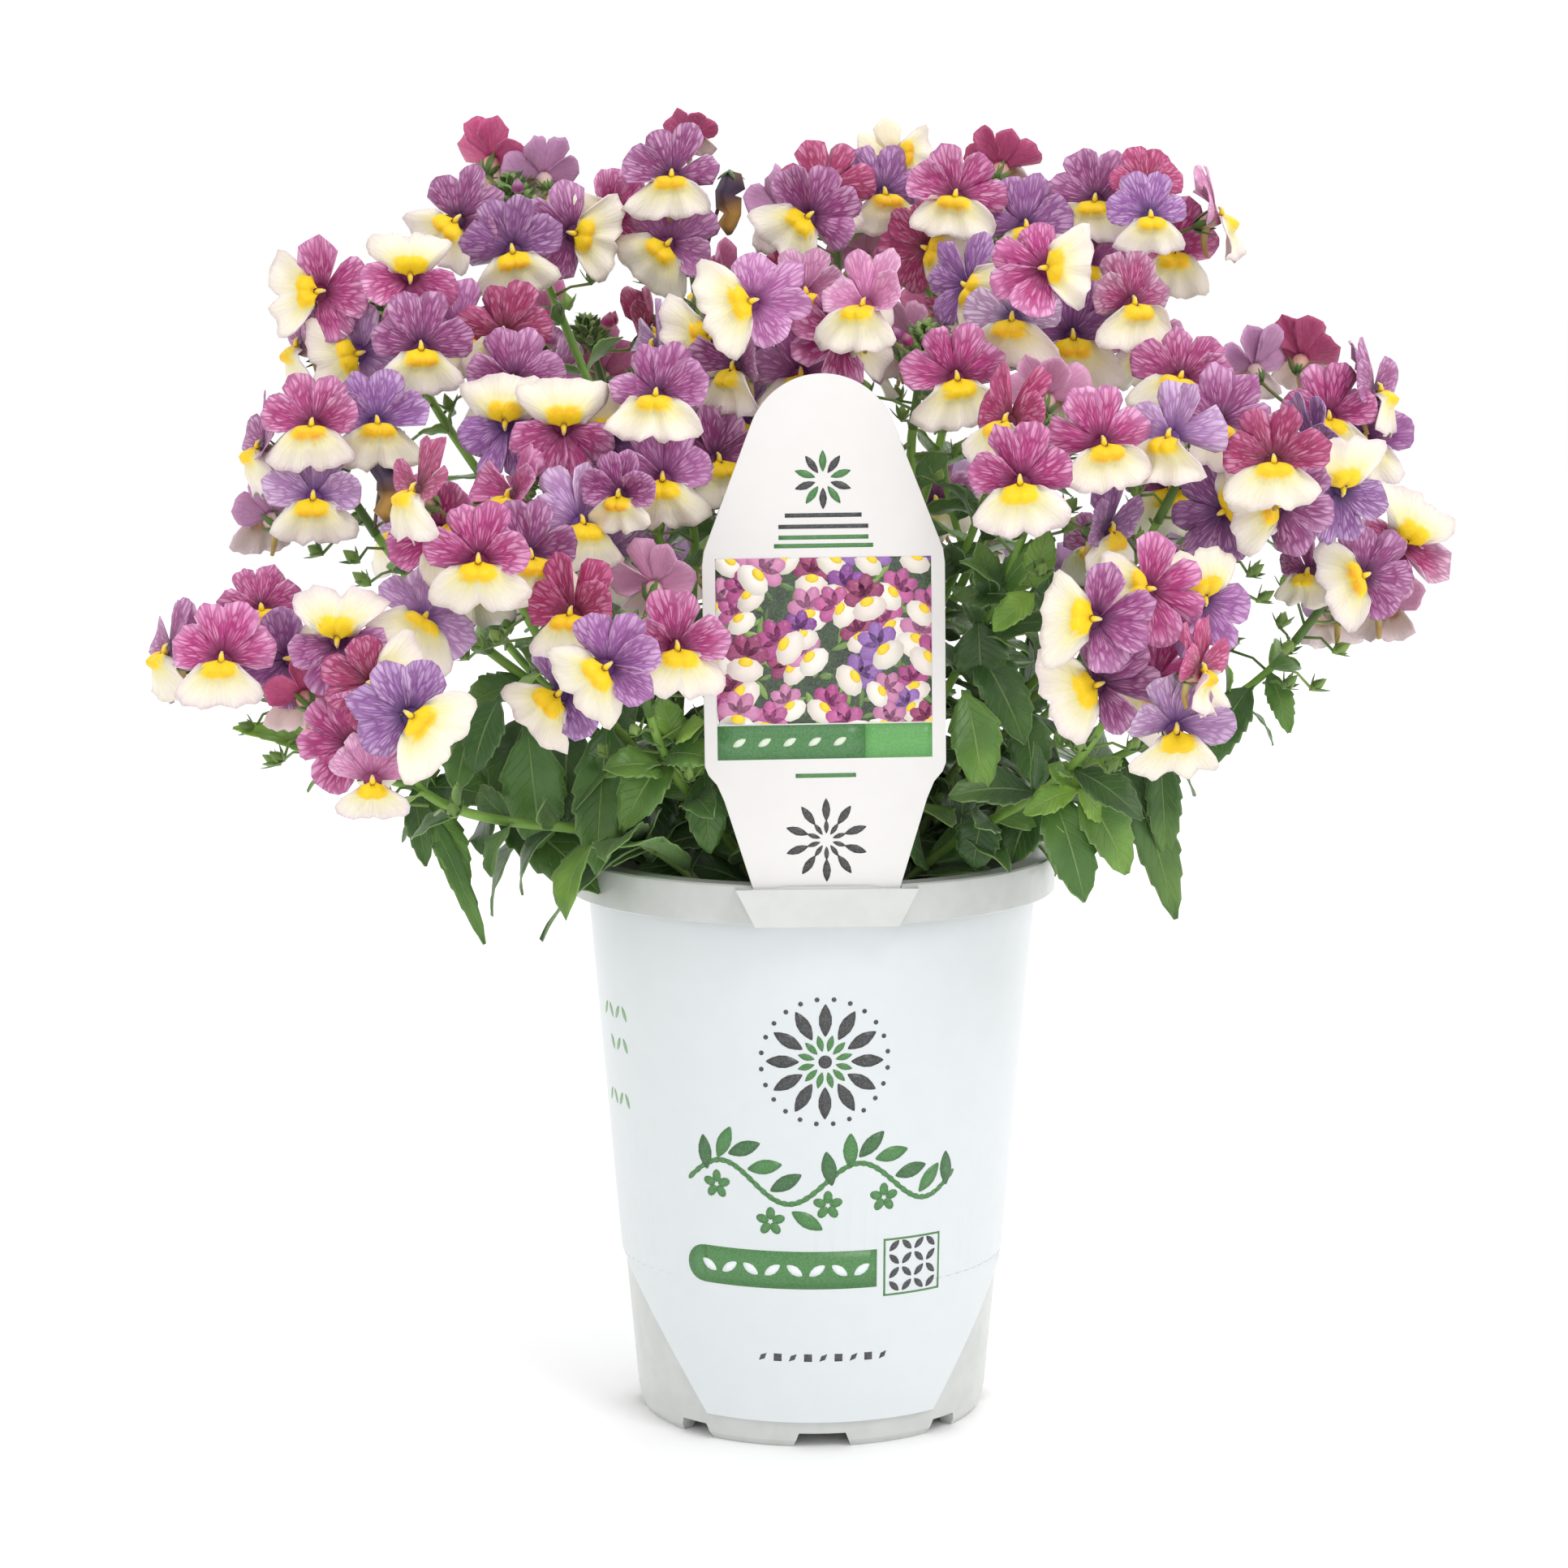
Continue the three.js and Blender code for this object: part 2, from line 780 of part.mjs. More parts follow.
function tag() {
  const low = POT_HEIGHT - RIM_DEPTH + POCKET.floor + 0.5;
  const rim = POT_HEIGHT - 1;
  const shape = new THREE.Shape();
  shape.moveTo(-TAG_TAB_HALF + 1.2, low);
  shape.lineTo(TAG_TAB_HALF - 1.2, low);
  shape.lineTo(TAG_TAB_HALF, rim);
  shape.lineTo(TAG_HIP_HALF, TAG_HIP);
  shape.lineTo(TAG_HALF, TAG_WAIST);
  shape.lineTo(TAG_HALF, TAG_SHOULDER);
  shape.absarc(0, TAG_TOP - TAG_ARCH, TAG_ARCH, 0.36, Math.PI - 0.36, false);
  shape.lineTo(-TAG_HALF, TAG_SHOULDER);
  shape.lineTo(-TAG_HALF, TAG_WAIST);
  shape.lineTo(-TAG_HIP_HALF, TAG_HIP);
  shape.lineTo(-TAG_TAB_HALF, rim);
  shape.closePath();
  const plate = { depth: TAG_THICKNESS, bevelEnabled: false, curveSegments: 12 };
  const geometry = new THREE.ExtrudeGeometry(shape, plate).rotateX(Math.PI / 2);
  geometry.translate(0, TAG_THICKNESS / 2, -POT_HEIGHT);
  geometry.rotateY(-degToRad(TAG_LEAN)).translate(0, TAG_Y, POT_HEIGHT);
  return turned(geometry, POT_TURN);
}

function soilBody() {
  const floor = FLOOR_HEIGHT + FLOOR_THICKNESS + SOIL_GAP;
  const rise = (SOIL_TOP - STEP_HEIGHT) / (POT_HEIGHT - RIM_DEPTH - STEP_HEIGHT);
  const topRadius = INNER_STEP + rise * (NECK_RADIUS - WALL - INNER_STEP) - 2 * SOIL_GAP;
  return lathe(
    [
      [0, floor],
      [INNER_BASE - 2 * SOIL_GAP, floor],
      [INNER_STEP - 2 * SOIL_GAP, STEP_HEIGHT],
      [topRadius, SOIL_TOP],
      [topRadius * 0.84, SOIL_TOP + SOIL_CROWN * 0.5],
      [topRadius * 0.6, SOIL_TOP + SOIL_CROWN * 0.3],
      [topRadius * 0.34, SOIL_TOP + SOIL_CROWN * 0.9],
      [0, SOIL_TOP + SOIL_CROWN],
    ],
    SOIL_SIDES,
  );
}

// Flower heads

function lookAt({ roll = 0, turn, tilt }) {
  const [t, e, r] = [turn, tilt, roll].map(degToRad);
  const facing = new THREE.Vector3(
    Math.sin(t) * Math.cos(e),
    -Math.cos(t) * Math.cos(e),
    Math.sin(e),
  );
  const upright = UP.clone().addScaledVector(facing, -UP.dot(facing)).normalize();
  const right = new THREE.Vector3().crossVectors(upright, facing);
  const top = upright.multiplyScalar(Math.cos(r)).addScaledVector(right, Math.sin(r));
  const side = new THREE.Vector3().crossVectors(top, facing);
  return { facing, top, side };
}

function local(center, { facing, top, side }, across, up, forward) {
  return center
    .clone()
    .addScaledVector(side, across)
    .addScaledVector(top, up)
    .addScaledVector(facing, forward);
}

// A bloom: four rounded upper lobes round the throat, and a lip that swells into a palate.
// Its back runs into a short tube of three sides, which goes on as the pedicel to its foot.
function bloomBlade({ center, frame, size, halfRim }, foot, margin) {
  const scale = size * (1 + margin / 12);
  const half = BLADE / 2 + margin;
  const at = (across, up, forward, lift) =>
    local(center, frame, across * scale, up * scale, forward * scale + lift);
  const left = halfRim.map(({ angle, radius, forward }) => [
    -Math.sin(degToRad(angle)) * radius,
    Math.cos(degToRad(angle)) * radius,
    forward,
  ]);
  const right = left
    .slice(1)
    .reverse()
    .map(([across, up, forward]) => [-across, up, forward]);
  const rim = [...left, ...right];
  const count = rim.length;
  const tubeMiddle = at(0, TUBE.up, -TUBE.back, -half);
  const footFrame = along(foot, tubeMiddle, frame.top);
  const ring = (middle, ringFrame) =>
    [0, 120, 240].map((angle) => {
      const [x, y] = [-Math.sin(degToRad(angle)), Math.cos(degToRad(angle))];
      const thick = PEDICEL_RADIUS + margin;
      return local(middle, ringFrame, x * thick, y * thick, 0);
    });
  const corners = [
    ...rim.map((p) => at(...p, half)),
    at(0, 0, -0.4, half),
    at(0, PALATE.up, PALATE.forward, half),
    ...rim.map((p) => at(...p, -half)),
    at(0, PALATE.up, PALATE.forward - 1.2, -half),
    ...ring(tubeMiddle, frame),
    ...ring(foot, footFrame),
  ];
  const [throat, palate, backRim] = [count, count + 1, count + 2];
  const behindPalate = backRim + count;
  const [tubeRing, footRing] = [behindPalate + 1, behindPalate + 4];
  const lip = halfRim.findIndex(({ angle }) => angle > LIP_FROM);
  const shoulder = halfRim.findIndex(({ angle }) => angle > TUBE.corner);
  const frontHub = (i) => (i >= lip && i < count - lip ? palate : throat);
  const backHub = (i) => {
    if (i < shoulder || i >= count - shoulder) return tubeRing;
    if (frontHub(i) === palate) return behindPalate;
    return i < lip ? tubeRing + 1 : tubeRing + 2;
  };
  const faces = [];
  for (let i = 0; i < count; i++) {
    const [next, last] = [(i + 1) % count, (i + count - 1) % count];
    faces.push([frontHub(i), i, next], [backHub(i), backRim + next, backRim + i]);
    faces.push([next, i, backRim + i], [next, backRim + i, backRim + next]);
    if (frontHub(last) !== frontHub(i)) faces.push([frontHub(last), i, frontHub(i)]);
    if (backHub(last) !== backHub(i)) faces.push([backHub(last), backHub(i), backRim + i]);
  }
  faces.push([tubeRing + 1, tubeRing + 2, behindPalate]);
  for (let i = 0; i < 3; i++) {
    const next = (i + 1) % 3;
    faces.push([tubeRing + next, tubeRing + i, footRing + i]);
    faces.push([tubeRing + next, footRing + i, footRing + next]);
  }
  faces.push([footRing, footRing + 2, footRing + 1]);
  const geometry = meshOf(corners, faces);
  geometry.userData.isBloom = true;
  return geometry;
}

// A frame that faces from one point to another, and keeps a given side uppermost.
function along(from, to, uppermost) {
  const facing = to.clone().sub(from).normalize();
  const top = uppermost.clone().addScaledVector(facing, -uppermost.dot(facing)).normalize();
  return { facing, top, side: new THREE.Vector3().crossVectors(top, facing) };
}

function headStalk(tip, lean) {
  const reach = Math.hypot(tip.x, tip.y);
  const out = new THREE.Vector3(tip.x, tip.y, 0).divideScalar(Math.max(reach, 1));
  const angle = degToRad(lean ?? (45 * Math.min(reach, 150)) / 150);
  const axis = UP.clone().multiplyScalar(Math.cos(angle)).addScaledVector(out, Math.sin(angle));
  return { tip, axis, base: tip.clone().addScaledVector(axis, -STALK_LENGTH) };
}

// The share of the stalk where a bloom's pedicel leaves it: higher blooms from higher up.
function footShare(rank, count) {
  return 0.2 + (0.7 * (rank + 0.5)) / count;
}

// A bloom on its pedicel. Its blade is kept clear of all else, and its pedicel of other nodes.
function bloomMaking(stalk, bloom, share) {
  const { center, frame, size } = bloom;
  const foot = stalk.base.clone().lerp(stalk.tip, share);
  const tubeEnd = local(center, frame, 0, TUBE.up * size, -TUBE.back * size - BLADE);
  const stub = tubeEnd.clone().lerp(foot, 0.1);
  const pedicel = new THREE.LineCurve3(foot, tubeEnd);
  return {
    outlines: [
      bloomBlade(bloom, stub, CLEAR),
      tube(pedicel, PEDICEL_RADIUS + CLEAR, 3, 1),
    ],
    parts: [bloomBlade(bloom, foot, 0)],
  };
}

function seenBlooms(name, head, stalk) {
  const heights = head.blooms.map((bloom) => bloom.at[1]).sort((a, b) => b - a);
  for (const bloom of head.blooms) {
    const [dx, dy] = [bloom.at[0] - head.tip[0], bloom.at[1] - head.tip[1]];
    const scale = (EYE.distance + head.depth) / EYE.focus;
    const reach = Math.min(Math.hypot(dx, dy) * scale, HEAD_REACH);
    const isBack = Math.abs(bloom.turn ?? 0) > 90;
    const bulge = Math.sqrt(HEAD_REACH ** 2 - reach ** 2) * (isBack ? -0.3 : 1);
    const turn = bloom.turn ?? clamp(dx * 0.3, -32, 32);
    const tilt = bloom.tilt ?? clamp(6 - dy * 0.2, -18, 26);
    const frame = lookAt({ roll: bloom.roll, turn, tilt });
    const halfRim = isBack || head.inner ? PLAIN_RIM : HALF_RIM;
    const share = footShare(heights.indexOf(bloom.at[1]), head.blooms.length);
    const makings = BLOOM_NUDGES.map((nudge) => {
      const center = seen(bloom.at, head.depth - bulge + nudge);
      return bloomMaking(stalk, { center, frame, size: bloom.size ?? 1, halfRim }, share);
    });
    placeFirstClear(`head_${name}`, makings);
  }
}

function backBlooms(name, head, stalk, seed) {
  const draw = draws(seed);
  for (let i = 0; i < BACK_BLOOMS; i++) {
    const around = head.turn + (360 * (i + 0.6 * draw())) / BACK_BLOOMS;
    const lift = i % 2 === 0 ? 25 : -12;
    const [a, e] = [degToRad(around), degToRad(lift)];
    const out = new THREE.Vector3(Math.cos(a) * Math.cos(e), Math.sin(a) * Math.cos(e), Math.sin(e));
    const turn = around + 90;
    const frame = lookAt({ roll: 60 * (draw() - 0.5), turn, tilt: lift * 0.6 });
    const makings = BLOOM_NUDGES.map((nudge) => {
      const middle = stalk.base.clone().lerp(stalk.tip, 0.6);
      const center = middle.addScaledVector(out, BACK_SPREAD + Math.abs(nudge) * 0.5);
      center.z += nudge * 0.5;
      const bloom = { center, frame, size: 1, halfRim: PLAIN_RIM };
      return bloomMaking(stalk, bloom, footShare(i % 2 === 0 ? i + 1 : i - 1, BACK_BLOOMS));
    });
    placeFirstClear(`head_${name}`, makings);
  }
}

// Stems and leaves

const stalks = {};
for (const [name, head] of Object.entries(HEADS)) {
  stalks[name] = headStalk(seen(head.tip, head.depth), head.lean);
}
for (const [name, head] of Object.entries(BACK_HEADS)) {
  const a = degToRad(head.turn);
  const tip = new THREE.Vector3(head.reach * Math.cos(a), head.reach * Math.sin(a), head.height);
  stalks[name] = headStalk(tip, head.lean);
}

function stemPath(start, rise, stalk) {
  const end = stalk.base.clone().addScaledVector(stalk.axis, -0.7);
  const span = start.distanceTo(end);
  const low = start.clone().addScaledVector(rise, span);
  const high = end.clone().addScaledVector(stalk.axis, -ARRIVE * span);
  return new THREE.CubicBezierCurve3(start, low, high, end);
}

function stemPaths(stem) {
  const first = stalks[stem.heads[0]];
  const [x, y] = stem.root ?? [first.base.x * ROOT_SHARE.x, first.base.y * ROOT_SHARE.y];
  const root = new THREE.Vector3(x, y, SOIL_TOP - STEM_DEPTH);
  const main = stemPath(root, UP.clone().multiplyScalar(stem.rise ?? RISE), first);
  const paths = [main];
  if (stem.heads.length > 1) {
    const fork = main.getPoint(FORK);
    const along = main.getTangent(FORK).multiplyScalar(0.3);
    paths.push(stemPath(fork, along, stalks[stem.heads[1]]));
  }
  return paths;
}

function leafBlade(root, tip, width, face, margin) {
  const along = tip.clone().sub(root);
  const length = along.length();
  along.normalize();
  const across = new THREE.Vector3().crossVectors(along, face).normalize();
  const normal = new THREE.Vector3().crossVectors(across, along);
  const at = (share, side, lift) => {
    const arch = LEAF_ARCH * length * 4 * share * (1 - share);
    return root
      .clone()
      .addScaledVector(along, share * length)
      .addScaledVector(across, side)
      .addScaledVector(normal, arch + lift);
  };
  const half = BLADE / 2 + margin;
  const outline = [
    ...LEAF_STATIONS.map(({ share, half }) => [share, (half * width) / 2 + margin]),
    [1, 0],
    ...LEAF_STATIONS.toReversed().map(({ share, half }) => [share, (-half * width) / 2 - margin]),
  ];
  const front = outline.map(([share, side]) => at(share, side, half));
  const back = outline.map(([share, side]) => at(share, side, -half));
  const last = outline.length - 1;
  const tipIndex = LEAF_STATIONS.length;
  const faces = [[tipIndex - 1, tipIndex, tipIndex + 1]];
  for (let i = 0; i < tipIndex - 1; i++) {
    faces.push([i, i + 1, last - i], [i + 1, last - i - 1, last - i]);
  }
  return blade(front, back, faces);
}

function leafMaking(root, tip, width, face) {
  return {
    outlines: [leafBlade(root, tip, width, face, CLEAR)],
    parts: [leafBlade(root, tip, width, face, 0)],
  };
}

// A leaf that is seen from the front, with its face towards the viewer and the light.
function seenLeaf(owner, path, leaf) {
  const root = path.getPoint(leaf.from);
  const makings = LEAF_NUDGES.map((nudge) => {
    const tip = seen(leaf.tip, root.y + LEAF_FORWARD + nudge);
    return leafMaking(root, tip, leaf.width, SEEN_LEAF_FACE);
  });
  placeFirstClear(owner, makings);
}

// A pair of leaves that stand out from the stem on opposite sides.
function leafPair(owner, path, draw) {
  const root = path.getPoint(PAIR.from);
  const tangent = path.getTangent(PAIR.from);
  const level = new THREE.Vector3().crossVectors(tangent, UP).normalize();
  const upper = new THREE.Vector3().crossVectors(level, tangent);
  const spin = 360 * draw();
  const length = PAIR.shortest + (PAIR.longest - PAIR.shortest) * draw();
  for (const side of [0, 180]) {
    const makings = PAIR_SPINS.map((more, i) => {
      const angle = degToRad(spin + side + more);
      const out = level.clone().multiplyScalar(Math.cos(angle));
      out.addScaledVector(upper, Math.sin(angle));
      const reach = length * (1 - 0.04 * i);
      const tip = root.clone().addScaledVector(out, reach * PAIR.out);
      tip.addScaledVector(tangent, reach * PAIR.along).addScaledVector(UP, -reach * PAIR.droop);
      const face = UP.clone().addScaledVector(tangent, 0.6);
      return leafMaking(root, tip, reach * PAIR.width, face);
    });
    placeFirstClear(owner, makings);
  }
}

const stemEntries = Object.entries(STEMS).map(([name, stem]) => ({
  name,
  stem,
  paths: stemPaths(stem),
}));

function stemMaking(paths) {
  const tubes = (margin) =>
    paths.map((path) => tube(path, STEM_RADIUS + margin, STEM_SIDES, STEM_STEPS));
  return { outlines: tubes(CLEAR), parts: tubes(0) };
}

function buildPlant() {
  for (const { name, paths } of stemEntries) {
    placeFirstClear(`stem_${name}`, [stemMaking(paths)]);
  }
  for (const [name, stalk] of Object.entries(stalks)) {
    const makings = [{ outlines: headCore(stalk, CLEAR), parts: headCore(stalk, 0) }];
    placeFirstClear(`head_${name}`, makings);
  }
  for (const [name, head] of Object.entries(HEADS)) seenBlooms(name, head, stalks[name]);
  Object.entries(BACK_HEADS).forEach(([name, head], i) => {
    backBlooms(name, head, stalks[name], BACK_SEED + i);
  });
  for (const { name, stem, paths } of stemEntries) {
    for (const leaf of stem.leaves ?? []) seenLeaf(`stem_${name}`, paths[0], leaf);
  }
  stemEntries.forEach(({ name, stem, paths }, i) => {
    if (!stem.leaves) leafPair(`stem_${name}`, paths[0], draws(LEAF_SEED + i));
  });
}

function headCore(stalk, margin) {
  const tip = new THREE.ConeGeometry(BUD_TIP.radius + margin, BUD_TIP.height + margin, 5);
  tip.rotateX(Math.PI / 2).translate(stalk.tip.x, stalk.tip.y, stalk.tip.z);
  const line = new THREE.LineCurve3(stalk.base, stalk.tip);
  return [tube(line, STALK_RADIUS + margin, STALK_SIDES, 1), tip];
}

place("pot", turnedSolid(pot(), POT_TURN));
place("tag", tag());
buildPlant();

let soil = solid(soilBody());
for (const { paths } of stemEntries) {
  soil = soil.subtract(solid(tube(paths[0], STEM_RADIUS + HOLE_MARGIN, STEM_SIDES, STEM_STEPS)));
}
addNode("soil", soil, "soil");
for (const owner of new Set(pieces.map((piece) => piece.owner))) {
  const whole = join(pieces.filter((piece) => piece.owner === owner).map((piece) => piece.solid));
  addNode(owner, whole, owner.split("_")[0]);
}

export default group;
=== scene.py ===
# %% [markdown]
# # A potted nemesia
# A bushy annual in a white nursery pot, with a plant tag in its rim. The plain solids of every
# head, stem, pot and tag come from the part itself. This lesson dresses them: each solid is
# replaced by a finer piece that keeps its place and form. Lengths are written in millimetres,
# as a grower or a pot maker would give them, and turned into Blender's metres at the very end.

# %% Load the plain solids
import json
import math

import bpy
import numpy as np
from mathutils import Matrix, Vector
from mathutils.kdtree import KDTree

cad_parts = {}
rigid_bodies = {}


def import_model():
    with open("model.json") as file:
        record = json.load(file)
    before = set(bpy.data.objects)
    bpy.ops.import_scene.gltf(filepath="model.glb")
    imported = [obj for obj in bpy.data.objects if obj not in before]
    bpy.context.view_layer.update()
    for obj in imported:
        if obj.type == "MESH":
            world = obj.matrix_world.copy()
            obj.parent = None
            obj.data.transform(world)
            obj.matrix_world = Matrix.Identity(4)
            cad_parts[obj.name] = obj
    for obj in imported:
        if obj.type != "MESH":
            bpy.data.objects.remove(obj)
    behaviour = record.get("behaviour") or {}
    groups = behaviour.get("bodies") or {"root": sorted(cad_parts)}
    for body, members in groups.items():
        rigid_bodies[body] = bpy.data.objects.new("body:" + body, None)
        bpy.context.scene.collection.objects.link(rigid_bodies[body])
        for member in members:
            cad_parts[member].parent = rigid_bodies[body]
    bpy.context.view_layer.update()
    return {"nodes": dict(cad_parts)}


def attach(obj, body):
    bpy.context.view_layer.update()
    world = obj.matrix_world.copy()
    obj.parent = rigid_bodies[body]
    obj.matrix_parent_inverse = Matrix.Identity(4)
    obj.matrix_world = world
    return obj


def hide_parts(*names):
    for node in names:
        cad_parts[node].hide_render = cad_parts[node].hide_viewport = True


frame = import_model()
MM = 0.001
print("solids:", len(frame["nodes"]))

# %% [markdown]
# ## Patches
# Petals, leaves, stems and buds are all patches: small grids of points. A grid can be written
# down as a formula, so every bloom can differ a little, and numpy fills it quickly. Each patch
# carries a tint and a place on its own surface, which the materials read later.


# %% A basket that collects patches and makes one mesh of them
class Basket:
    def __init__(self):
        self.points, self.faces, self.tints, self.places, self.finishes = [], [], [], [], []
        self.count = 0

    def add(self, points, faces, tints, places=None, finish=0):
        """faces is a list of blocks; finish is one number for all, or one for each block."""
        points = np.asarray(points, float).reshape(-1, 3)
        places = np.zeros((len(points), 2)) if places is None else places.reshape(-1, 2)
        self.points.append(points)
        self.tints.append(np.broadcast_to(np.asarray(tints, float), (len(points), 4)))
        self.places.append(places)
        for block, kind in zip(faces, np.broadcast_to(finish, len(faces))):
            self.faces.append(block + self.count)
            self.finishes.append(np.full(len(block), kind))
        self.count += len(points)

    def mesh(self, name, materials):
        def fill(rows, what, values, kind=np.int32):
            rows.foreach_set(what, values.astype(kind).ravel())

        made = bpy.data.meshes.new(name)
        corners = np.concatenate([block.ravel() for block in self.faces])
        sizes = np.concatenate([np.full(len(b), b.shape[1]) for b in self.faces])
        made.vertices.add(self.count)
        made.loops.add(len(corners))
        made.polygons.add(len(sizes))
        fill(made.vertices, "co", np.concatenate(self.points) * MM, np.float32)
        fill(made.loops, "vertex_index", corners)
        fill(made.polygons, "loop_start", np.cumsum(sizes) - sizes)
        fill(made.polygons, "material_index", np.concatenate(self.finishes))
        made.update(calc_edges=True)
        tint = made.color_attributes.new(name="Tint", type="FLOAT_COLOR", domain="POINT")
        fill(tint.data, "color", np.concatenate(self.tints), np.float32)
        place = made.uv_layers.new(name="Place")
        fill(place.data, "uv", np.concatenate(self.places)[corners], np.float32)
        for material in materials:
            made.materials.append(material)
        made.shade_smooth()
        return made


def put_in(name, data):
    thing = bpy.data.objects.new(name, data)
    bpy.context.scene.collection.objects.link(thing)
    return thing


def show(name, basket, materials, replaced=()):
    piece = put_in(name, basket.mesh(name, materials))
    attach(piece, "root")
    if replaced:
        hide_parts(*replaced)
    return piece


# %% Sheets: a grid of points, its back, and the wall round its edge
def grid_normals(points):
    normals = np.cross(np.gradient(points, axis=1), np.gradient(points, axis=0))
    return normals / np.maximum(np.linalg.norm(normals, axis=2, keepdims=True), 1e-9)


def add_sheet(basket, points, tints, thick, places=None, back_tints=None, finish=0):
    """A thin closed sheet: its front is the grid, its back lies thick behind it."""
    rows, columns = points.shape[:2]
    index = np.arange(rows * columns).reshape(rows, columns)
    a = index[:-1, :-1].ravel()
    front = np.stack([a, a + 1, a + columns + 1, a + columns], axis=1)
    edge = np.concatenate([index[0], index[1:, -1], index[-1, -2::-1], index[-2:0:-1, 0]])
    after, shift = np.roll(edge, -1), index.size
    wall = np.stack([after, edge, edge + shift, after + shift], axis=1)
    tints = [np.broadcast_to(t, (rows, columns, 4))
             for t in (tints, tints if back_tints is None else back_tints)]
    basket.add(np.stack([points, points - grid_normals(points) * thick]),
               [front, front[:, ::-1] + shift, wall], np.stack(tints).reshape(-1, 4),
               None if places is None else np.stack([places, places]), finish)


# %% Rings and rods: a tube of changing thickness along a path, closed at both ends
def unit(v):
    v = np.asarray(v, float)
    return v / max(np.linalg.norm(v), 1e-9)


def add_rings(basket, rings, tints, places=None, finish=0, middles=None, flip=False):
    """Join rings of points into a closed skin, with flat ends or ends that run to middles."""
    count, sides = rings.shape[:2]
    a, last = np.arange(sides), (count - 1) * sides
    b, points = np.roll(a, -1), rings.reshape(-1, 3)
    faces = [np.stack([a, b, b + sides, a + sides], 1) + i * sides for i in range(count - 1)]
    if middles is None:
        faces += [a[None, ::-1], a[None, :] + last]
    else:
        points = np.concatenate([points, middles])
        hub = np.full(sides, count * sides)
        faces += [np.stack([hub, b, a], 1), np.stack([hub + 1, a + last, b + last], 1)]
    if flip:
        faces = [face[:, [0, *range(face.shape[1] - 1, 0, -1)]] for face in faces]
    basket.add(points, faces, tints, places, finish)


def add_rod(basket, path, radii, sides, tints, squareness=0.0):
    path = np.asarray(path, float)
    count = len(path)
    tangents = np.gradient(path, axis=0)
    side = unit(np.cross(tangents[0], [0.31, 0.17, 0.93]))
    turns = 2 * np.pi * np.arange(sides) / sides
    swell = 1 + squareness * np.cos(4 * turns)
    rings = []
    for point, tangent, radius in zip(path, tangents, radii):
        along = unit(tangent)
        side = unit(side - along * np.dot(side, along))
        other = np.cross(along, side)
        ring = np.outer(np.cos(turns) * swell, side) + np.outer(np.sin(turns) * swell, other)
        rings.append(point + radius * ring)
    tints = np.repeat(np.broadcast_to(tints, (count, 4)), sides, axis=0)
    around, share = np.tile(np.arange(sides) / sides, count), np.linspace(0, 1, count)
    add_rings(basket, np.array(rings), tints, np.stack([around, np.repeat(share, sides)], 1))


def add_pod(basket, centre, axis, length, radius, tints, sides=8, rings=6):
    """A closed bud, capsule or crumb: a rod that swells and closes to a point at both ends."""
    share = np.linspace(0, 1, rings)
    path = np.asarray(centre) + np.outer((share - 0.5) * length, unit(axis))
    add_rod(basket, path, radius * np.maximum(np.sin(np.pi * share ** 0.85), 0.06), sides, tints)


# %% Colours, written the way a paint chart gives them
def colour(code, strength=0.0):
    values = [int(code[i:i + 2], 16) / 255 for i in (0, 2, 4)]
    linear = [v / 12.92 if v <= 0.04045 else ((v + 0.055) / 1.055) ** 2.4 for v in values]
    return np.array([*linear, strength])


def blend(a, b, share):
    share = np.asarray(share)[..., None]
    return a * (1 - share) + b * share


def smooth(value, low, high):
    t = np.clip((value - low) / (high - low), 0, 1)
    return t * t * (3 - 2 * t)


# %% [markdown]
# ## Materials
# A small tool box for node trees comes first. A wire is a node's output that takes plain sums,
# so that a * b places a Multiply node. Veins and grain are node groups with named sockets,
# because petals, leaves, plastic and soil use them with their own values.


# %% Helpers that place and connect nodes
def plug(socket, value):
    if isinstance(value, Wire):
        socket.id_data.links.new(value.socket, socket)
    elif value is not None:
        socket.default_value = value


def add_node(tree, kind, **values):
    """A name with a capital is one of the node's inputs, and any other is a setting."""
    made = tree.nodes.new("ShaderNode" + kind)
    for name, value in values.items():
        if name[0].isupper():
            plug(made.inputs[name.replace("_", " ")], value)
        else:
            setattr(made, name, value)
    return made


def joined(kind, *values, output=0, **settings):
    """A node whose inputs are given in order; it stands in the tree of the first wire."""
    tree = next(value.tree for value in values if isinstance(value, Wire))
    made = add_node(tree, kind, **settings)
    for socket, value in zip(made.inputs, values):
        plug(socket, value)
    return Wire(made.outputs[output])


class Wire:
    def __init__(self, socket):
        self.socket, self.tree = socket, socket.id_data

    def __add__(self, other):
        return joined("Math", self, other, operation="ADD")

    def __sub__(self, other):
        return joined("Math", self, other, operation="SUBTRACT")

    def __rsub__(self, other):
        return joined("Math", other, self, operation="SUBTRACT")

    def __mul__(self, other):
        return joined("Math", self, other, operation="MULTIPLY")

    def __abs__(self):
        return joined("Math", self, operation="ABSOLUTE")

    def larger(self, other):
        return joined("Math", self, other, operation="MAXIMUM")

    def fraction(self):
        return joined("Math", self, operation="FRACT")

    def ranged(self, low, high, to_low=0.0, to_high=1.0):
        return joined("MapRange", self, low, high, to_low, to_high,
                      interpolation_type="SMOOTHSTEP")


def mixed(share, a, b, way="MIX"):
    """A mix of colours: they are the node's seventh and eighth inputs."""
    return joined("Mix", share, *[None] * 5, a, b, output=2, data_type="RGBA", blend_type=way)


def wires(made, *names):
    return [Wire(made.outputs[name]) for name in names]


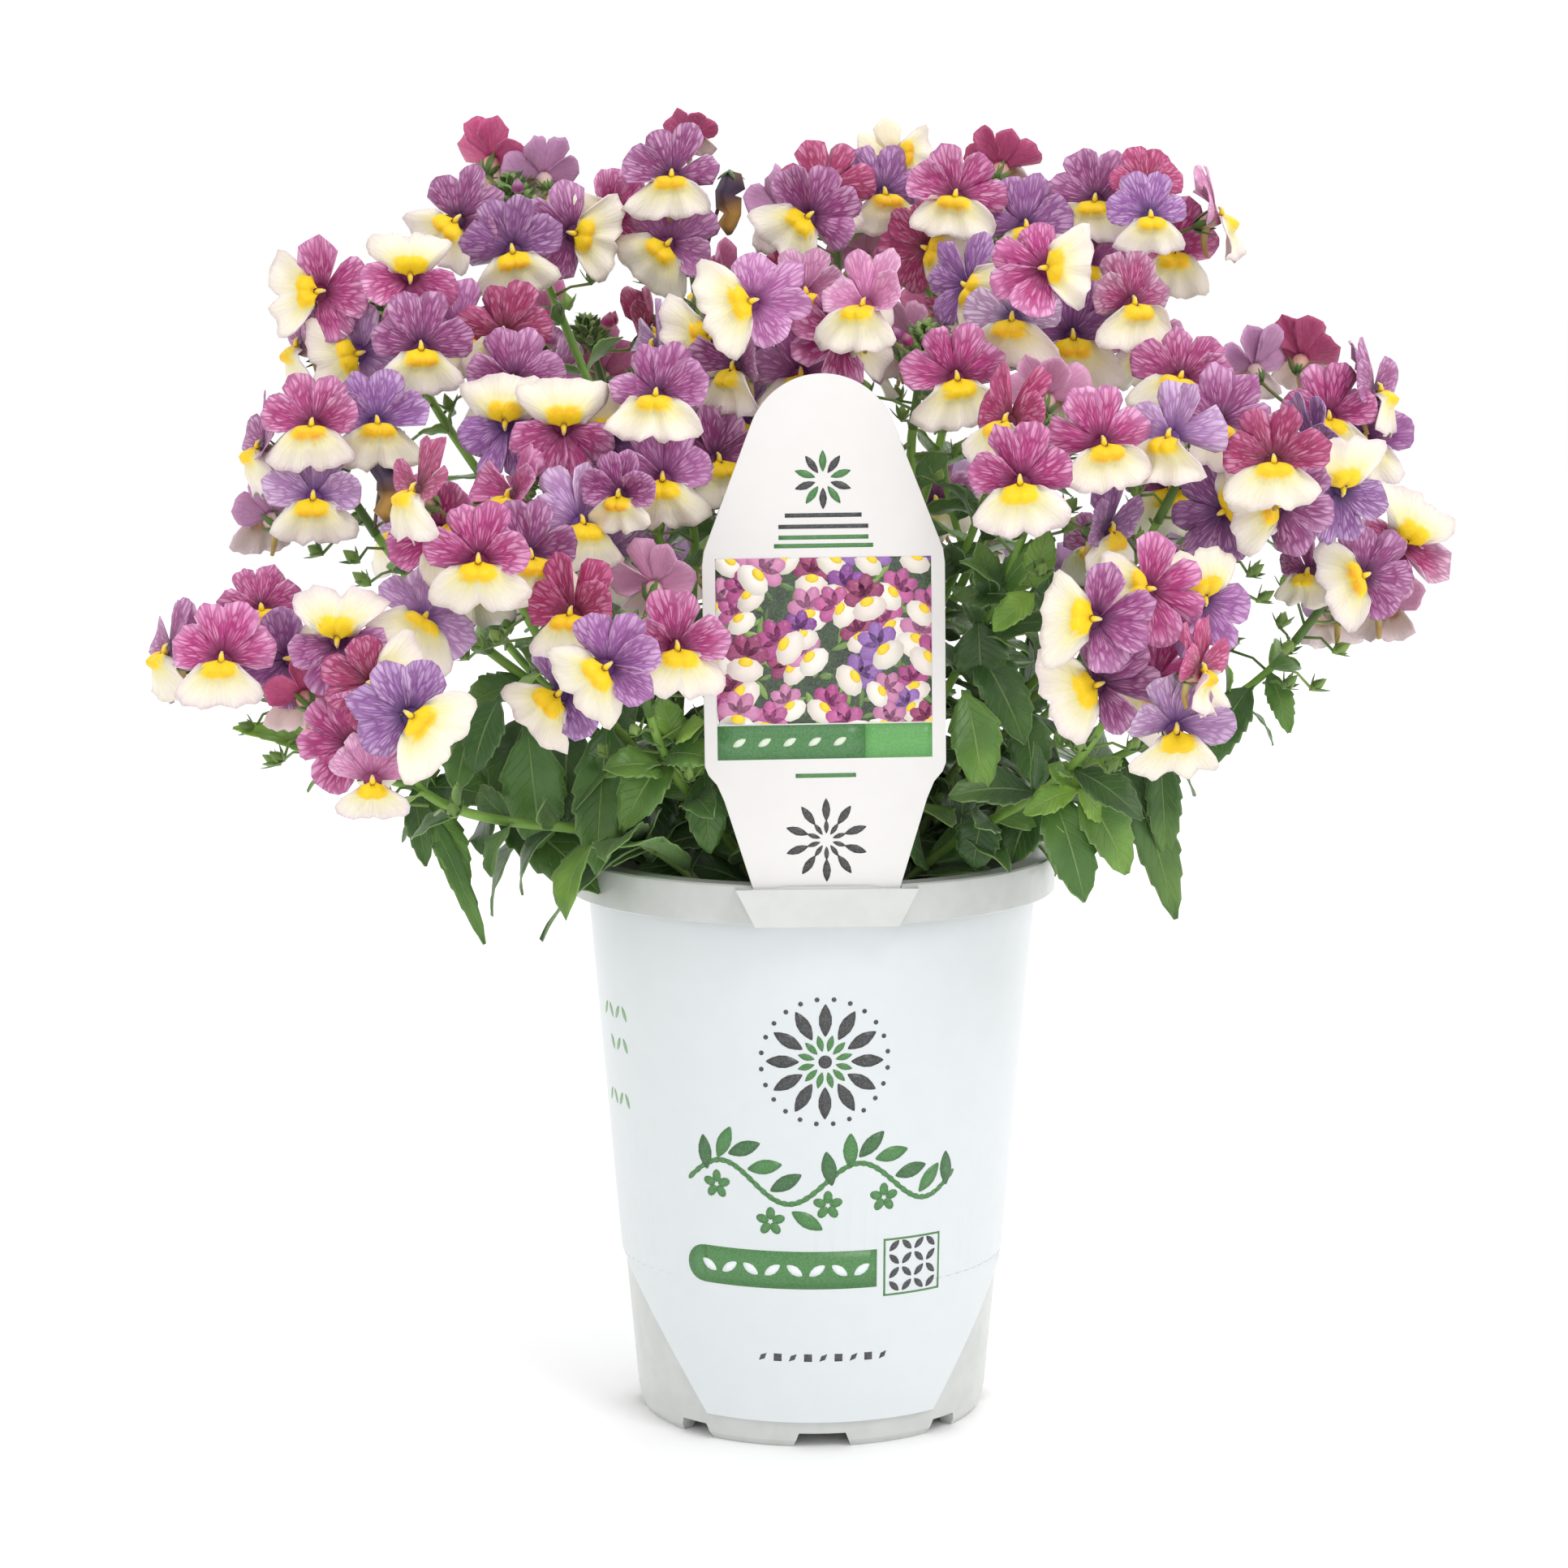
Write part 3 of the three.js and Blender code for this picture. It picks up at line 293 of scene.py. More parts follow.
def new_group(name, inputs, outputs):
    group = bpy.data.node_groups.new(name, "ShaderNodeTree")
    for in_out, sockets in (("INPUT", inputs), ("OUTPUT", outputs)):
        for socket_name in sockets:
            kind = "NodeSocketVector" if socket_name == "Place" else "NodeSocketFloat"
            group.interface.new_socket(name=socket_name, in_out=in_out, socket_type=kind)
    given = wires(group.nodes.new("NodeGroupInput"), *inputs)
    return group, given, group.nodes.new("NodeGroupOutput").inputs


# %% Netted veins: cells stretched outwards along the petal, with the veins between them
net, (place, across, along, width), result = new_group(
    "netted veins", ["Place", "Across", "Along", "Width"], ["Veins", "Streaks", "Mottle"])
stretch, = wires(add_node(net, "CombineXYZ", X=across, Y=along), 0)
scaled = joined("VectorMath", place, stretch, operation="MULTIPLY")
waver, = wires(add_node(net, "TexNoise", Vector=scaled, Scale=0.8, Detail=2.0), "Color")
bent = mixed(0.22, scaled, waver, "LINEAR_LIGHT")
to_edge, = wires(add_node(net, "TexVoronoi", feature="DISTANCE_TO_EDGE", Vector=bent, Scale=1.0,
                          Randomness=1.0), "Distance")
long_way = joined("VectorMath", bent, (1.5, 0.3, 1.0), operation="MULTIPLY")
rays, = wires(add_node(net, "TexNoise", Vector=long_way, Scale=1.6, Detail=2.0), 0)
spots, = wires(add_node(net, "TexNoise", Vector=bent, Scale=0.75, Detail=3.0, Roughness=0.6), 0)
plug(result["Veins"], to_edge.ranged(0.02, width, 1.0, 0.0))
plug(result["Streaks"], rays.ranged(0.5, 0.62))
plug(result["Mottle"], spots.ranged(0.38, 0.62))

# %% Fine grain: an even, slightly cloudy unevenness for skins, soil and plastic
grain, (scale,), result = new_group("fine grain", ["Scale"], ["Cloud", "Grain"])
spot, = wires(add_node(grain, "TexCoord"), "Object")
plug(result["Grain"], *wires(add_node(grain, "TexNoise", Vector=spot, Scale=scale, Detail=4.0), 0))
plug(result["Cloud"],
     *wires(add_node(grain, "TexNoise", Vector=spot, Scale=scale * 0.12, Detail=2.0), 0))


# %% What every finish starts and ends with
def new_material(name, **values):
    material = bpy.data.materials.new(name)
    material.use_nodes = True
    tree = material.node_tree
    surface = tree.nodes["Principled BSDF"].inputs
    for socket_name, value in values.items():
        surface[socket_name.replace("_", " ")].default_value = value
    return material, tree, surface


def tint_of(tree):
    return wires(add_node(tree, "Attribute", attribute_name="Tint"), "Color", "Alpha")


def place_of(tree):
    place, = wires(add_node(tree, "UVMap", uv_map="Place"), 0)
    return place, *wires(add_node(tree, "SeparateXYZ", Vector=place), 0, 1)


def grain_of(tree, scale):
    return wires(add_node(tree, "Group", node_tree=grain, Scale=scale), "Cloud", "Grain")


def coat(surface, colouring, height=None, strength=0.0, distance=0.0):
    plug(surface["Base Color"], colouring)
    if height:
        relief = add_node(height.tree, "Bump", Strength=strength, Distance=distance,
                          Height=height)
        plug(surface["Normal"], *wires(relief, 0))


# %% [markdown]
# Petals are thin and velvety. Each carries its own tint, dark at the throat and pale at the rim,
# and the share of the tint's alpha says how strongly the pattern shows: fully on the upper
# lobes, hardly on the cream lip. The pattern is a net of dark veins round pale cells, with dark
# rays that run out of the throat. How far out a place lies is the fraction of its second value.

# %% The petal's finish
def petal_finish():
    material, tree, surface = new_material(
        "petal", Roughness=0.5, Sheen_Weight=0.08, Sheen_Roughness=0.4)
    tint, strength = tint_of(tree)
    place, _, along = place_of(tree)
    veins, streaks, mottle = wires(
        add_node(tree, "Group", node_tree=net, Place=place, Across=9.0, Along=3.0, Width=0.22),
        "Veins", "Streaks", "Mottle")
    outward = along.fraction()
    dark = mixed(1.0, tint, (0.42, 0.13, 0.34, 1), "MULTIPLY")
    pale = mixed(0.5, tint, (0.92, 0.68, 0.86, 1))
    cells = (1.0 - veins) * mottle * outward.ranged(0.1, 0.45) * strength
    lines = (veins * 0.7).larger(streaks * outward.ranged(1.05, 0.25)) * strength
    _, fine = grain_of(tree, 2600.0)
    coat(surface, mixed(lines * 0.85, mixed(cells * 0.72, tint, pale), dark),
         streaks * -0.7 + fine * 0.3, 0.4, 0.0003)
    return material


petal = petal_finish()


# %% The finish of stems, calyces, buds and spurs
def green_finish():
    material, tree, surface = new_material("green skin", Roughness=0.5, Sheen_Weight=0.15)
    tint, _ = tint_of(tree)
    cloud, fine = grain_of(tree, 900.0)
    darker = mixed(1.0, tint, (0.6, 0.68, 0.5, 1), "MULTIPLY")
    coat(surface, mixed(cloud.ranged(0.35, 0.65), darker, tint), fine, 0.4, 0.0003)
    return material


green = green_finish()


# %% [markdown]
# A nemesia leaf is smooth and slightly glossy, with a midrib sunk in its face, a few side veins
# that run forward, and a thin pale line along its toothed edge. The place on the leaf, across
# from 0 to 1 and along from 0 to 1, is enough to draw all three.

# %% The leaf's finish
def leaf_finish():
    material, tree, surface = new_material("leaf", Roughness=0.38, Sheen_Weight=0.1)
    tint, _ = tint_of(tree)
    _, across, along = place_of(tree)
    off_middle = abs(across - 0.5)
    midrib = off_middle.ranged(0.0, 0.035, 1.0, 0.0)
    edge = off_middle.ranged(0.44, 0.5)
    ahead = along * 9.0 - off_middle * 4.6
    side_vein = abs(ahead.fraction() - 0.5).ranged(0.0, 0.09, 1.0, 0.0)
    cloud, fine = grain_of(tree, 700.0)
    darker = mixed(1.0, tint, (0.55, 0.66, 0.6, 1), "MULTIPLY")
    face = mixed(cloud.ranged(0.35, 0.65), darker, tint)
    pale = mixed(0.35, tint, (0.42, 0.55, 0.2, 1))
    lines = (side_vein * 0.3).larger(midrib.larger(edge * 0.6))
    sunk = midrib.larger(side_vein * 0.5)
    coat(surface, mixed(lines, face, pale), sunk * -1.0 + fine * 0.35, 0.6, 0.0004)
    return material


leaf_skin = leaf_finish()
print("plant finishes:", petal.name, green.name, leaf_skin.name)

# %% [markdown]
# ## Where everything grows
# The plant was laid out as a viewer in front of it sees it. Each head and bloom is given by the
# pixel where it shows in a view 1932 pixels wide, and by its depth. The same arithmetic made the
# plain solids, so a finer piece that follows it lands exactly where its solid is.

# %% From a pixel of the front view to a point in space
UP = np.array([0.0, 0.0, 1.0])
VIEW_PIXELS = 1932
EYE = {"distance": 900, "height": 270, "pitch": 7.93, "focus": 4892, "shift": 34}


def seen(x, y, depth):
    pitch = math.radians(EYE["pitch"])
    across = (x - VIEW_PIXELS / 2 - EYE["shift"]) / EYE["focus"]
    above = (VIEW_PIXELS / 2 - y) / EYE["focus"]
    ray = np.array([across, math.cos(pitch) + above * math.sin(pitch),
                    above * math.cos(pitch) - math.sin(pitch)])
    start = np.array([0.0, -EYE["distance"], EYE["height"]])
    return start + ray * (depth + EYE["distance"]) / ray[1]


def circle(degrees):
    a = math.radians(degrees)
    return np.array([math.cos(a), math.sin(a)])


def swung(pair, radians):
    """The direction at an angle between two directions that are square to each other."""
    return pair[0] * math.cos(radians) + pair[1] * math.sin(radians)


def facing_frame(roll, turn, tilt):
    """Three rows: a bloom's right, its top, and the way it faces."""
    t, e, r = math.radians(turn), math.radians(tilt), math.radians(roll)
    facing = np.array([math.sin(t) * math.cos(e), -math.cos(t) * math.cos(e), math.sin(e)])
    upright = unit(UP - facing * facing[2])
    top = swung((upright, np.cross(upright, facing)), r)
    return np.stack([np.cross(top, facing), top, facing])


def draws(seed):
    """Repeatable draws between 0 and 1, the same ones that placed the plain solids."""
    whole, state = 0xFFFFFFFF, seed

    def draw():
        nonlocal state
        state = (state + 0x6D2B79F5) & whole
        t = (state ^ (state >> 15)) * (1 | state) & whole
        t = ((t + (t ^ (t >> 7)) * (61 | t)) & whole) ^ t
        return (t ^ (t >> 14)) / (whole + 1)

    return draw


# %% The heads and their blooms
# Each block is a head: its name, the pixel of its tip and its depth, and "inner" where it is deep
# in the bush. Its blooms follow: a pixel, a colouring, and where they aren't as the head gives
# them, r for roll, t for turn and n for nod in degrees, and s for size.
def read_table(text):
    """Blocks such as "name words: row, row;" as {name: (words, rows)}."""
    table = {}
    for block in text.split(";"):
        title, rows = block.split(":")
        name, *words = title.split()
        table[name] = words, [row.split() for row in rows.split(",") if row.strip()]
    return table


HEAD_TABLE = read_table("""
north_west 632 236 34: 564 271 plum r40, 632 308 purple r-10, 705 287 plum r-80, 753 268 magenta
  r65, 607 196 crimson t160 n20 s0.85, 668 216 mauve t-150 n20 s0.8;
north 842 258 44: 828 217 plum, 823 300 mauve r40, 851 166 crimson t170 n35 s0.6;
west_high 472 388 8: 395 360 magenta r80, 505 342 magenta r180, 443 435 lilac r75, 518 428 plum,
  370 424 plum t-70, 566 411 mauve t35;
west 402 566 -20: 385 524 magenta, 464 521 violet t15, 322 551 plum t-70, 387 612 lilac, 332 636
  mauve t-140 n10 s0.85;
west_behind 648 424 20 inner: 621 411 crimson, 633 470 plum;
mid_west 664 580 -22 inner: 694 528 magenta r180, 624 523 violet r180, 746 541 violet r170, 746
  683 lilac t20;
center_west 836 540 -24 inner: 809 487 plum, 817 589 mauve, 882 566 plum t45, 764 609 plum s0.8;
low_west 596 640 -48: 539 655 magenta r-45, 590 690 magenta, 652 684 plum t25, 630 611 magenta
  t-60, 513 604 crimson t-60, 715 643 lilac t35;
center 958 396 -4 inner: 986 460 mauve, 1040 413 magenta r-90, 907 452 plum t-50, 914 517 lilac,
  879 415 plum r80, 927 372 mauve r70, 992 361 pink s0.85, 807 424 lilac t-75 s0.85;
north_mid 1034 268 46: 1089 239 purple, 1017 232 crimson, 997 267 plum r45, 960 262 mauve t-130
  n10 s0.9, 1103 193 cream r-80 s0.85, 1068 318 pink t160 n10 s0.85;
north_east_mid 1216 292 26: 1178 242 magenta r5, 1263 279 purple, 1143 306 crimson r-70, 1234
  204 crimson t160 n20 s0.8;
north_east 1394 262 34: 1350 247 plum, 1413 229 crimson s0.75, 1417 266 violet s0.85, 1443 308
  magenta, 1500 263 pink t75, 1339 324 mauve, 1310 283 crimson t-50 s0.85;
east_mid 1300 358 0 inner: 1192 352 violet r-60, 1248 392 frost, 1321 414 purple s1.1, 1288 331
  magenta r-90, 1395 373 rimmed, 1403 425 pink n-20;
center_east 1140 418 -14 inner: 1178 465 magenta r-5, 1117 424 pink t165 n15 s0.85, 1066 376
  pink t-30;
east_low_mid 1300 536 -42 inner: 1243 518 crimson t-50, 1258 593 magenta r-5, 1358 546 magenta
  r-5, 1290 488 pink t165 n20 s0.85, 1366 650 purple t55;
east 1476 545 -16 inner: 1455 466 magenta r15, 1502 520 plum r20, 1443 537 lilac t-40, 1443 599
  plum;
east_far 1634 494 22: 1637 514 magenta, 1680 541 purple, 1696 480 plum t70, 1617 555 violet
  t-60, 1544 452 mauve t-160 n15 s0.85, 1603 440 crimson t160 n20 s0.85;
east_front 1566 602 -30: 1508 630 purple r-120, 1575 622 plum r80, 1652 603 violet r180, 1569
  569 crimson;
far_east 1662 704 -8: 1680 709 plum r70, 1728 670 rimmed r-150, 1706 741 pink t150 n-10 s0.9,
  1640 752 lilac t-160 n-10 s0.85, 1613 706 plum t-40 s0.75;
low_east 1404 792 -58: 1415 727 magenta r85, 1482 739 purple r170, 1349 763 plum r90, 1353 843
  plum r70, 1420 843 magenta r45, 1448 897 lilac n-20, 1479 824 crimson t65 s0.85;
low_center_west 776 778 -56: 705 756 crimson, 748 821 purple r50, 691 853 violet r45, 833 798
  magenta, 807 720 pink t165 n15 s0.85;
far_west 286 806 -38: 208 802 plum t-65, 274 812 magenta, 357 811 purple r-90, 322 751 magenta
  r-5 s0.85;
low_west_front 442 862 -58: 417 790 plum r180, 460 841 crimson r-90 s0.9, 504 881 violet r-50,
  434 918 magenta r-70, 522 762 lilac r35, 374 855 crimson t-150 n10 s0.8, 459 960 pink n-25
  s0.8
""")
BACK_HEADS = {
    "back_east": (28, 92, 196),
    "back_north_east": (58, 66, 252),
    "back_middle_east": (70, 95, 204),
    "back_north": (100, 70, 256),
    "back_middle_west": (112, 100, 198),
    "back_north_west": (136, 74, 246),
    "back_west": (156, 94, 200),
}
HEADS = {}
for name, ((x, y, depth, *inner), rows) in HEAD_TABLE.items():
    blooms = []
    for across, down, tint, *turns in rows:
        given = {turn[0]: float(turn[1:]) for turn in turns}
        blooms.append({"x": int(across), "y": int(down), "tint": tint, "roll": given.get("r", 0),
                       "turn": given.get("t"), "tilt": given.get("n"),
                       "size": given.get("s", 1.0)})
    HEADS[name] = {"tip": (int(x), int(y)), "depth": int(depth), "inner": inner,
                   "blooms": blooms}

# %% The leafy stems: a name and its heads, and leaves as share of the stem, tip x, tip y, width
STEMS = read_table("""
north_west north_west:;
north north:;
west_high west_high west_behind:;
west west: 0.62 566 872 9;
mid_west mid_west center_west:;
low_west low_west: 0.66 734 1078 12, 0.5 800 1062 11, 0.74 640 800 9;
center center:;
north_mid north_mid:;
north_east_mid north_east_mid:;
north_east north_east:;
east_mid east_mid center_east:;
east_low_mid east_low_mid: 0.72 1262 918 11, 0.74 1306 770 8, 0.84 1300 664 8, 0.8 1204 668 8;
east east east_front: 0.16 1136 1074 15;
east_far east_far: 0.62 1448 716 8;
far_east far_east: 0.6 1448 1133 10, 0.68 1432 1062 8, 0.88 1480 946 10, 0.92 1592 902 6;
low_east low_east: 0.72 1168 978 10, 0.76 1336 1112 11, 0.84 1408 1010 9;
low_center_west low_center_west: 0.86 880 936 10, 0.8 742 946 9;
far_west far_west: 0.7 518 940 8, 0.7 628 988 10, 0.72 522 1068 6, 0.7 572 1098 8, 0.72 596 1164
  5, 0.56 735 1104 15, 0.86 286 902 6;
low_west_front low_west_front:;
back_east back_east back_north_east:;
back_middle back_middle_east back_north:;
back_west back_west back_north_west:;
back_far back_middle_west:
""")
ROOTS = {"far_west": (-31, -4), "low_west_front": (-20, -33)}
RISES = {"far_west": 0.46, "low_west_front": 0.62}
print("heads:", len(HEADS) + len(BACK_HEADS), "stems:", len(STEMS))

# %% Stalks: each head's axis leans outwards the further it stands from the pot
STALK_LENGTH = 19
HEAD_REACH = 25
FULL_LEAN, LEAN_REACH = 45, 150


def head_stalk(tip):
    reach = math.hypot(tip[0], tip[1])
    out = np.array([tip[0], tip[1], 0]) / max(reach, 1)
    lean = math.radians(FULL_LEAN * min(reach, LEAN_REACH) / LEAN_REACH)
    axis = swung((UP, out), lean)
    return {"tip": tip, "axis": axis, "base": tip - axis * STALK_LENGTH}


stalks = {name: head_stalk(seen(*head["tip"], head["depth"])) for name, head in HEADS.items()}
for name, (turn, reach, height) in BACK_HEADS.items():
    stalks[name] = head_stalk(np.array([*reach * circle(turn), height]))

# %% Finding each place again: of the places tried, the one whose corners are in the solid
BLOOM_NUDGES = [0, -3, 3, -6, 6, -9, 9, -13, 13, -17, 17, -22, 22, 28]
BLADE, NEAR_ENOUGH, POOR_MATCH = 0.7, 0.05, 0.3
RIM_START, RIM_END = (0, 9.2, -0.4), [(74, 10.9, -0.3), (108, 4.2, 0.8), (133, 11.6, 2.4)]
HALF_RIM = [RIM_START, (21, 12.0, -1.4), (44, 8.6, 0), *RIM_END]
PLAIN_RIM = [RIM_START, (24, 11.9, -1.2), *RIM_END]
corner_trees = {}


def corner_tree(node):
    if node not in corner_trees:
        corners = frame["nodes"][node].data.vertices
        tree = corner_trees[node] = KDTree(len(corners))
        for i, corner in enumerate(corners):
            tree.insert(corner.co / MM, i)
        tree.balance()
    return corner_trees[node]


def best_place(node, places):
    """places is a list of (what to return, its corners); the best match wins."""
    tree = corner_tree(node)
    scores = [sum(tree.find(corner)[2] < NEAR_ENOUGH for corner in corners) / len(corners)
              for _, corners in places]
    best = int(np.argmax(scores))
    if scores[best] < POOR_MATCH:
        print("no good match on", node, round(scores[best], 2))
    return places[best][0]


def rim_corners(centre, rows, size, half_rim):
    corners = []
    for angle, radius, forward in half_rim:
        upward, sideways = circle(angle) * radius
        for side in (-1, 1):
            flat = np.array([side * sideways, upward, forward])
            corners.append(centre + (flat * size) @ rows + rows[2] * BLADE / 2)
    return corners


def set_bloom(name, centres, rows, size, rim, tint, rank, count):
    """The best of the centres tried, and the foot of the pedicel, higher up for a higher bloom."""
    tried = [(centre, rim_corners(centre, rows, size, rim)) for centre in centres]
    stalk, share = stalks[name], 0.2 + 0.7 * (rank + 0.5) / count
    return {"centre": best_place("head_" + name, tried), "rows": rows, "size": size,
            "foot": stalk["base"] + (stalk["tip"] - stalk["base"]) * share, "tint": tint}


def seen_places(name, head):
    found = []
    heights = sorted((b["y"] for b in head["blooms"]), reverse=True)
    for each in head["blooms"]:
        dx, dy = each["x"] - head["tip"][0], each["y"] - head["tip"][1]
        scale = (EYE["distance"] + head["depth"]) / EYE["focus"]
        reach = min(math.hypot(dx, dy) * scale, HEAD_REACH)
        shows_back = abs(each["turn"] or 0) > 90
        bulge = math.sqrt(HEAD_REACH ** 2 - reach ** 2) * (-0.3 if shows_back else 1)
        turn = min(max(dx * 0.3, -32), 32) if each["turn"] is None else each["turn"]
        tilt = min(max(6 - dy * 0.2, -18), 26) if each["tilt"] is None else each["tilt"]
        centres = [seen(each["x"], each["y"], head["depth"] - bulge + nudge)
                   for nudge in BLOOM_NUDGES]
        rim = PLAIN_RIM if shows_back or head["inner"] else HALF_RIM
        found.append(set_bloom(name, centres, facing_frame(each["roll"], turn, tilt),
                               each["size"], rim, each["tint"], heights.index(each["y"]),
                               len(heights)))
    return found


BACK_TINTS = ["magenta", "plum", "mauve", "lilac", "crimson", "purple"]
BACK_BLOOMS, BACK_SPREAD, BACK_SEED = 4, 17, 101


def back_places(name, turn_out, seed):
    stalk, found, draw = stalks[name], [], draws(seed)
    middle = stalk["base"] + (stalk["tip"] - stalk["base"]) * 0.6
    for i in range(BACK_BLOOMS):
        around = turn_out + 360 * (i + 0.6 * draw()) / BACK_BLOOMS
        lift, step = (25, 1) if i % 2 == 0 else (-12, -1)
        level, rise = circle(lift)
        out = np.array([*circle(around) * level, rise])
        centres = [middle + out * (BACK_SPREAD + abs(nudge) * 0.5) + UP * nudge * 0.5
                   for nudge in BLOOM_NUDGES]
        rows = facing_frame(60 * (draw() - 0.5), around + 90, lift * 0.6)
        tint = BACK_TINTS[(seed * 3 + i * 2) % len(BACK_TINTS)]
        found.append(set_bloom(name, centres, rows, 1.0, PLAIN_RIM, tint, i + step, BACK_BLOOMS))
    return found


places = {name: seen_places(name, head) for name, head in HEADS.items()}
for i, (name, (turn, _, _)) in enumerate(BACK_HEADS.items()):
    places[name] = back_places(name, turn, BACK_SEED + i)
print("blooms:", sum(len(found) for found in places.values()))

# %% [markdown]
# ## A bloom
# A nemesia bloom has two lips. The upper one is a fan of four rounded lobes with dark netted
# veins. The lower one is a broad, ruffled skirt of cream, which swells at its root into a palate
# with two bright yellow bumps that close the throat. Behind are a short tube, a thin spur and a
# calyx of five green sepals. Each lobe is a patch in polar coordinates round the throat, so its
# outline, cup and waves are three short formulas.

# %% Colourings: middle, throat, rim and back of the upper lobes, and how far the veins show
TINTS = {
    "magenta": ("b0307b", "620a3e", "e2a4cb", "c07099", 0.95),
    "plum": ("95407f", "4a1045", "cf9fc6", "a86d9a", 0.9),
    "purple": ("965a9a", "4c1d58", "c39ac6", "a983b0", 0.85),
    "lilac": ("b48dbd", "61347a", "d8c0dc", "bba1c2", 0.8),
    "violet": ("8f5c9e", "43205e", "bf9fcb", "a583b4", 0.9),
    "crimson": ("a6235f", "62102c", "cc6494", "bb4f7c", 0.8),
    "mauve": ("b36aa6", "6a2460", "dcacd4", "ba8cb0", 0.85),
    "pink": ("cb80ac", "8c3669", "e4bbd4", "ca8fb0", 0.7),
    "frost": ("cdbbd6", "50356c", "e0d4e6", "c8b2ce", 1.0),
    "rimmed": ("b23276", "6c1240", "e6cddc", "c8a0ba", 0.9),
    "cream": ("e4dcbc", "b89a5c", "ece6d2", "ddd2b8", 0.1),
}
CREAM, IVORY, BLUSH = colour("efe6a6", 0.04), colour("f3ecd8", 0.05), colour("f0e0e2", 0.15)
YELLOW, AMBER = colour("ffd800"), colour("f3a000")
SEPAL, SEPAL_TIP = colour("557630"), colour("7f9f4c")
SPUR_ROOT, SPUR_TIP = colour("cdbd78"), colour("b0904c")
THROAT_RADIUS, LOBE_THICK, LIP_THICK = 0.8, 0.22, 0.25
LOBE_ROWS, LOBE_COLUMNS, LIP_ROWS, LIP_COLUMNS = 8, 9, 11, 25


def set_down(place, flat):
    """From a bloom's own right, top and forward to points in space."""
    return place["centre"] + (np.asarray(flat) * place["size"]) @ place["rows"]


def add_lobe(basket, place, lobe, rng):
    """lobe is (middle angle, half angle, length, forward at the tip)."""
    middle, half, length, forward = lobe
    v = np.linspace(0, 1, LOBE_ROWS)[:, None] ** 0.85
    s = np.linspace(-1, 1, LOBE_COLUMNS)[None, :]
    narrow = rng.uniform(0.93, 1.16)
    angle = np.radians(middle + half * s * (1.12 - (1.12 - narrow) * smooth(v, 0.0, 0.55)))
    peak = rng.uniform(-0.03, 0.09)
    deep = rng.uniform(0.3, 0.46)
    edge = length * (1 - deep + deep * np.sqrt(1 - np.abs(s) ** rng.uniform(2.0, 2.8)))
    edge = edge * (1 + peak * np.exp(-((s / 0.25) ** 2)))
    edge = edge * (1 + 0.02 * np.sin(s * rng.uniform(7, 11) + rng.uniform(0, 6)))
    radius = THROAT_RADIUS + (edge - THROAT_RADIUS) * v
    is_side = abs(middle) > 45
    cup = rng.uniform(-3.0, 2.0)
    lean = rng.uniform(-4.2, 4.2) if is_side else rng.uniform(-2.2, 1.8)
    twist = rng.uniform(-1.8, 1.8)
    wave = rng.uniform(0.2, 0.7) * np.sin(s * rng.uniform(3, 5) + rng.uniform(0, 6)) * v ** 2
    bow = rng.uniform(-1.4, 1.4) * v * (v - 0.55)
    z = (-0.4 + (forward + 0.4) * v + cup * s ** 2 * v ** 1.5 + twist * s * v + wave + bow
         + lean * v ** 1.6 + (0.5 * v if is_side else 0))
    mid, throat, rim, back, veins = place["tints"]
    near = smooth(v + 0 * s, 0.04, 0.5)
    far = smooth(v + 0.18 * s ** 2, rng.uniform(0.45, 0.7), 1.15)
    skin = blend(blend(throat, mid, near), rim, far * rng.uniform(0.5, 1.0))
    skin[..., 3] = veins * (0.55 + 0.45 * near)
    back_skin = blend(blend(back, mid, 0.25), rim, 0.35 * far)
    back_skin[..., 3] = 0.25 * veins
    where = np.stack([angle * 1.1, 0.98 * v + 0 * s], axis=2) + place["seed"]
    flat = np.stack([np.sin(angle) * radius, np.cos(angle) * radius, z], axis=2)
    add_sheet(basket, set_down(place, flat), skin, LOBE_THICK, where, back_skin)


LIP_ANGLES = [102, 110, 117, 123, 130, 138, 148, 160, 171, 180]
LIP_BELL = [4.2, 5.2, 7.4, 11.4, 13.5, 13.0, 12.0, 11.4, 11.1, 10.4]
LIP_FULL = [6.2, 9.6, 12.0, 13.2, 13.3, 12.7, 11.9, 11.4, 11.0, 10.3]


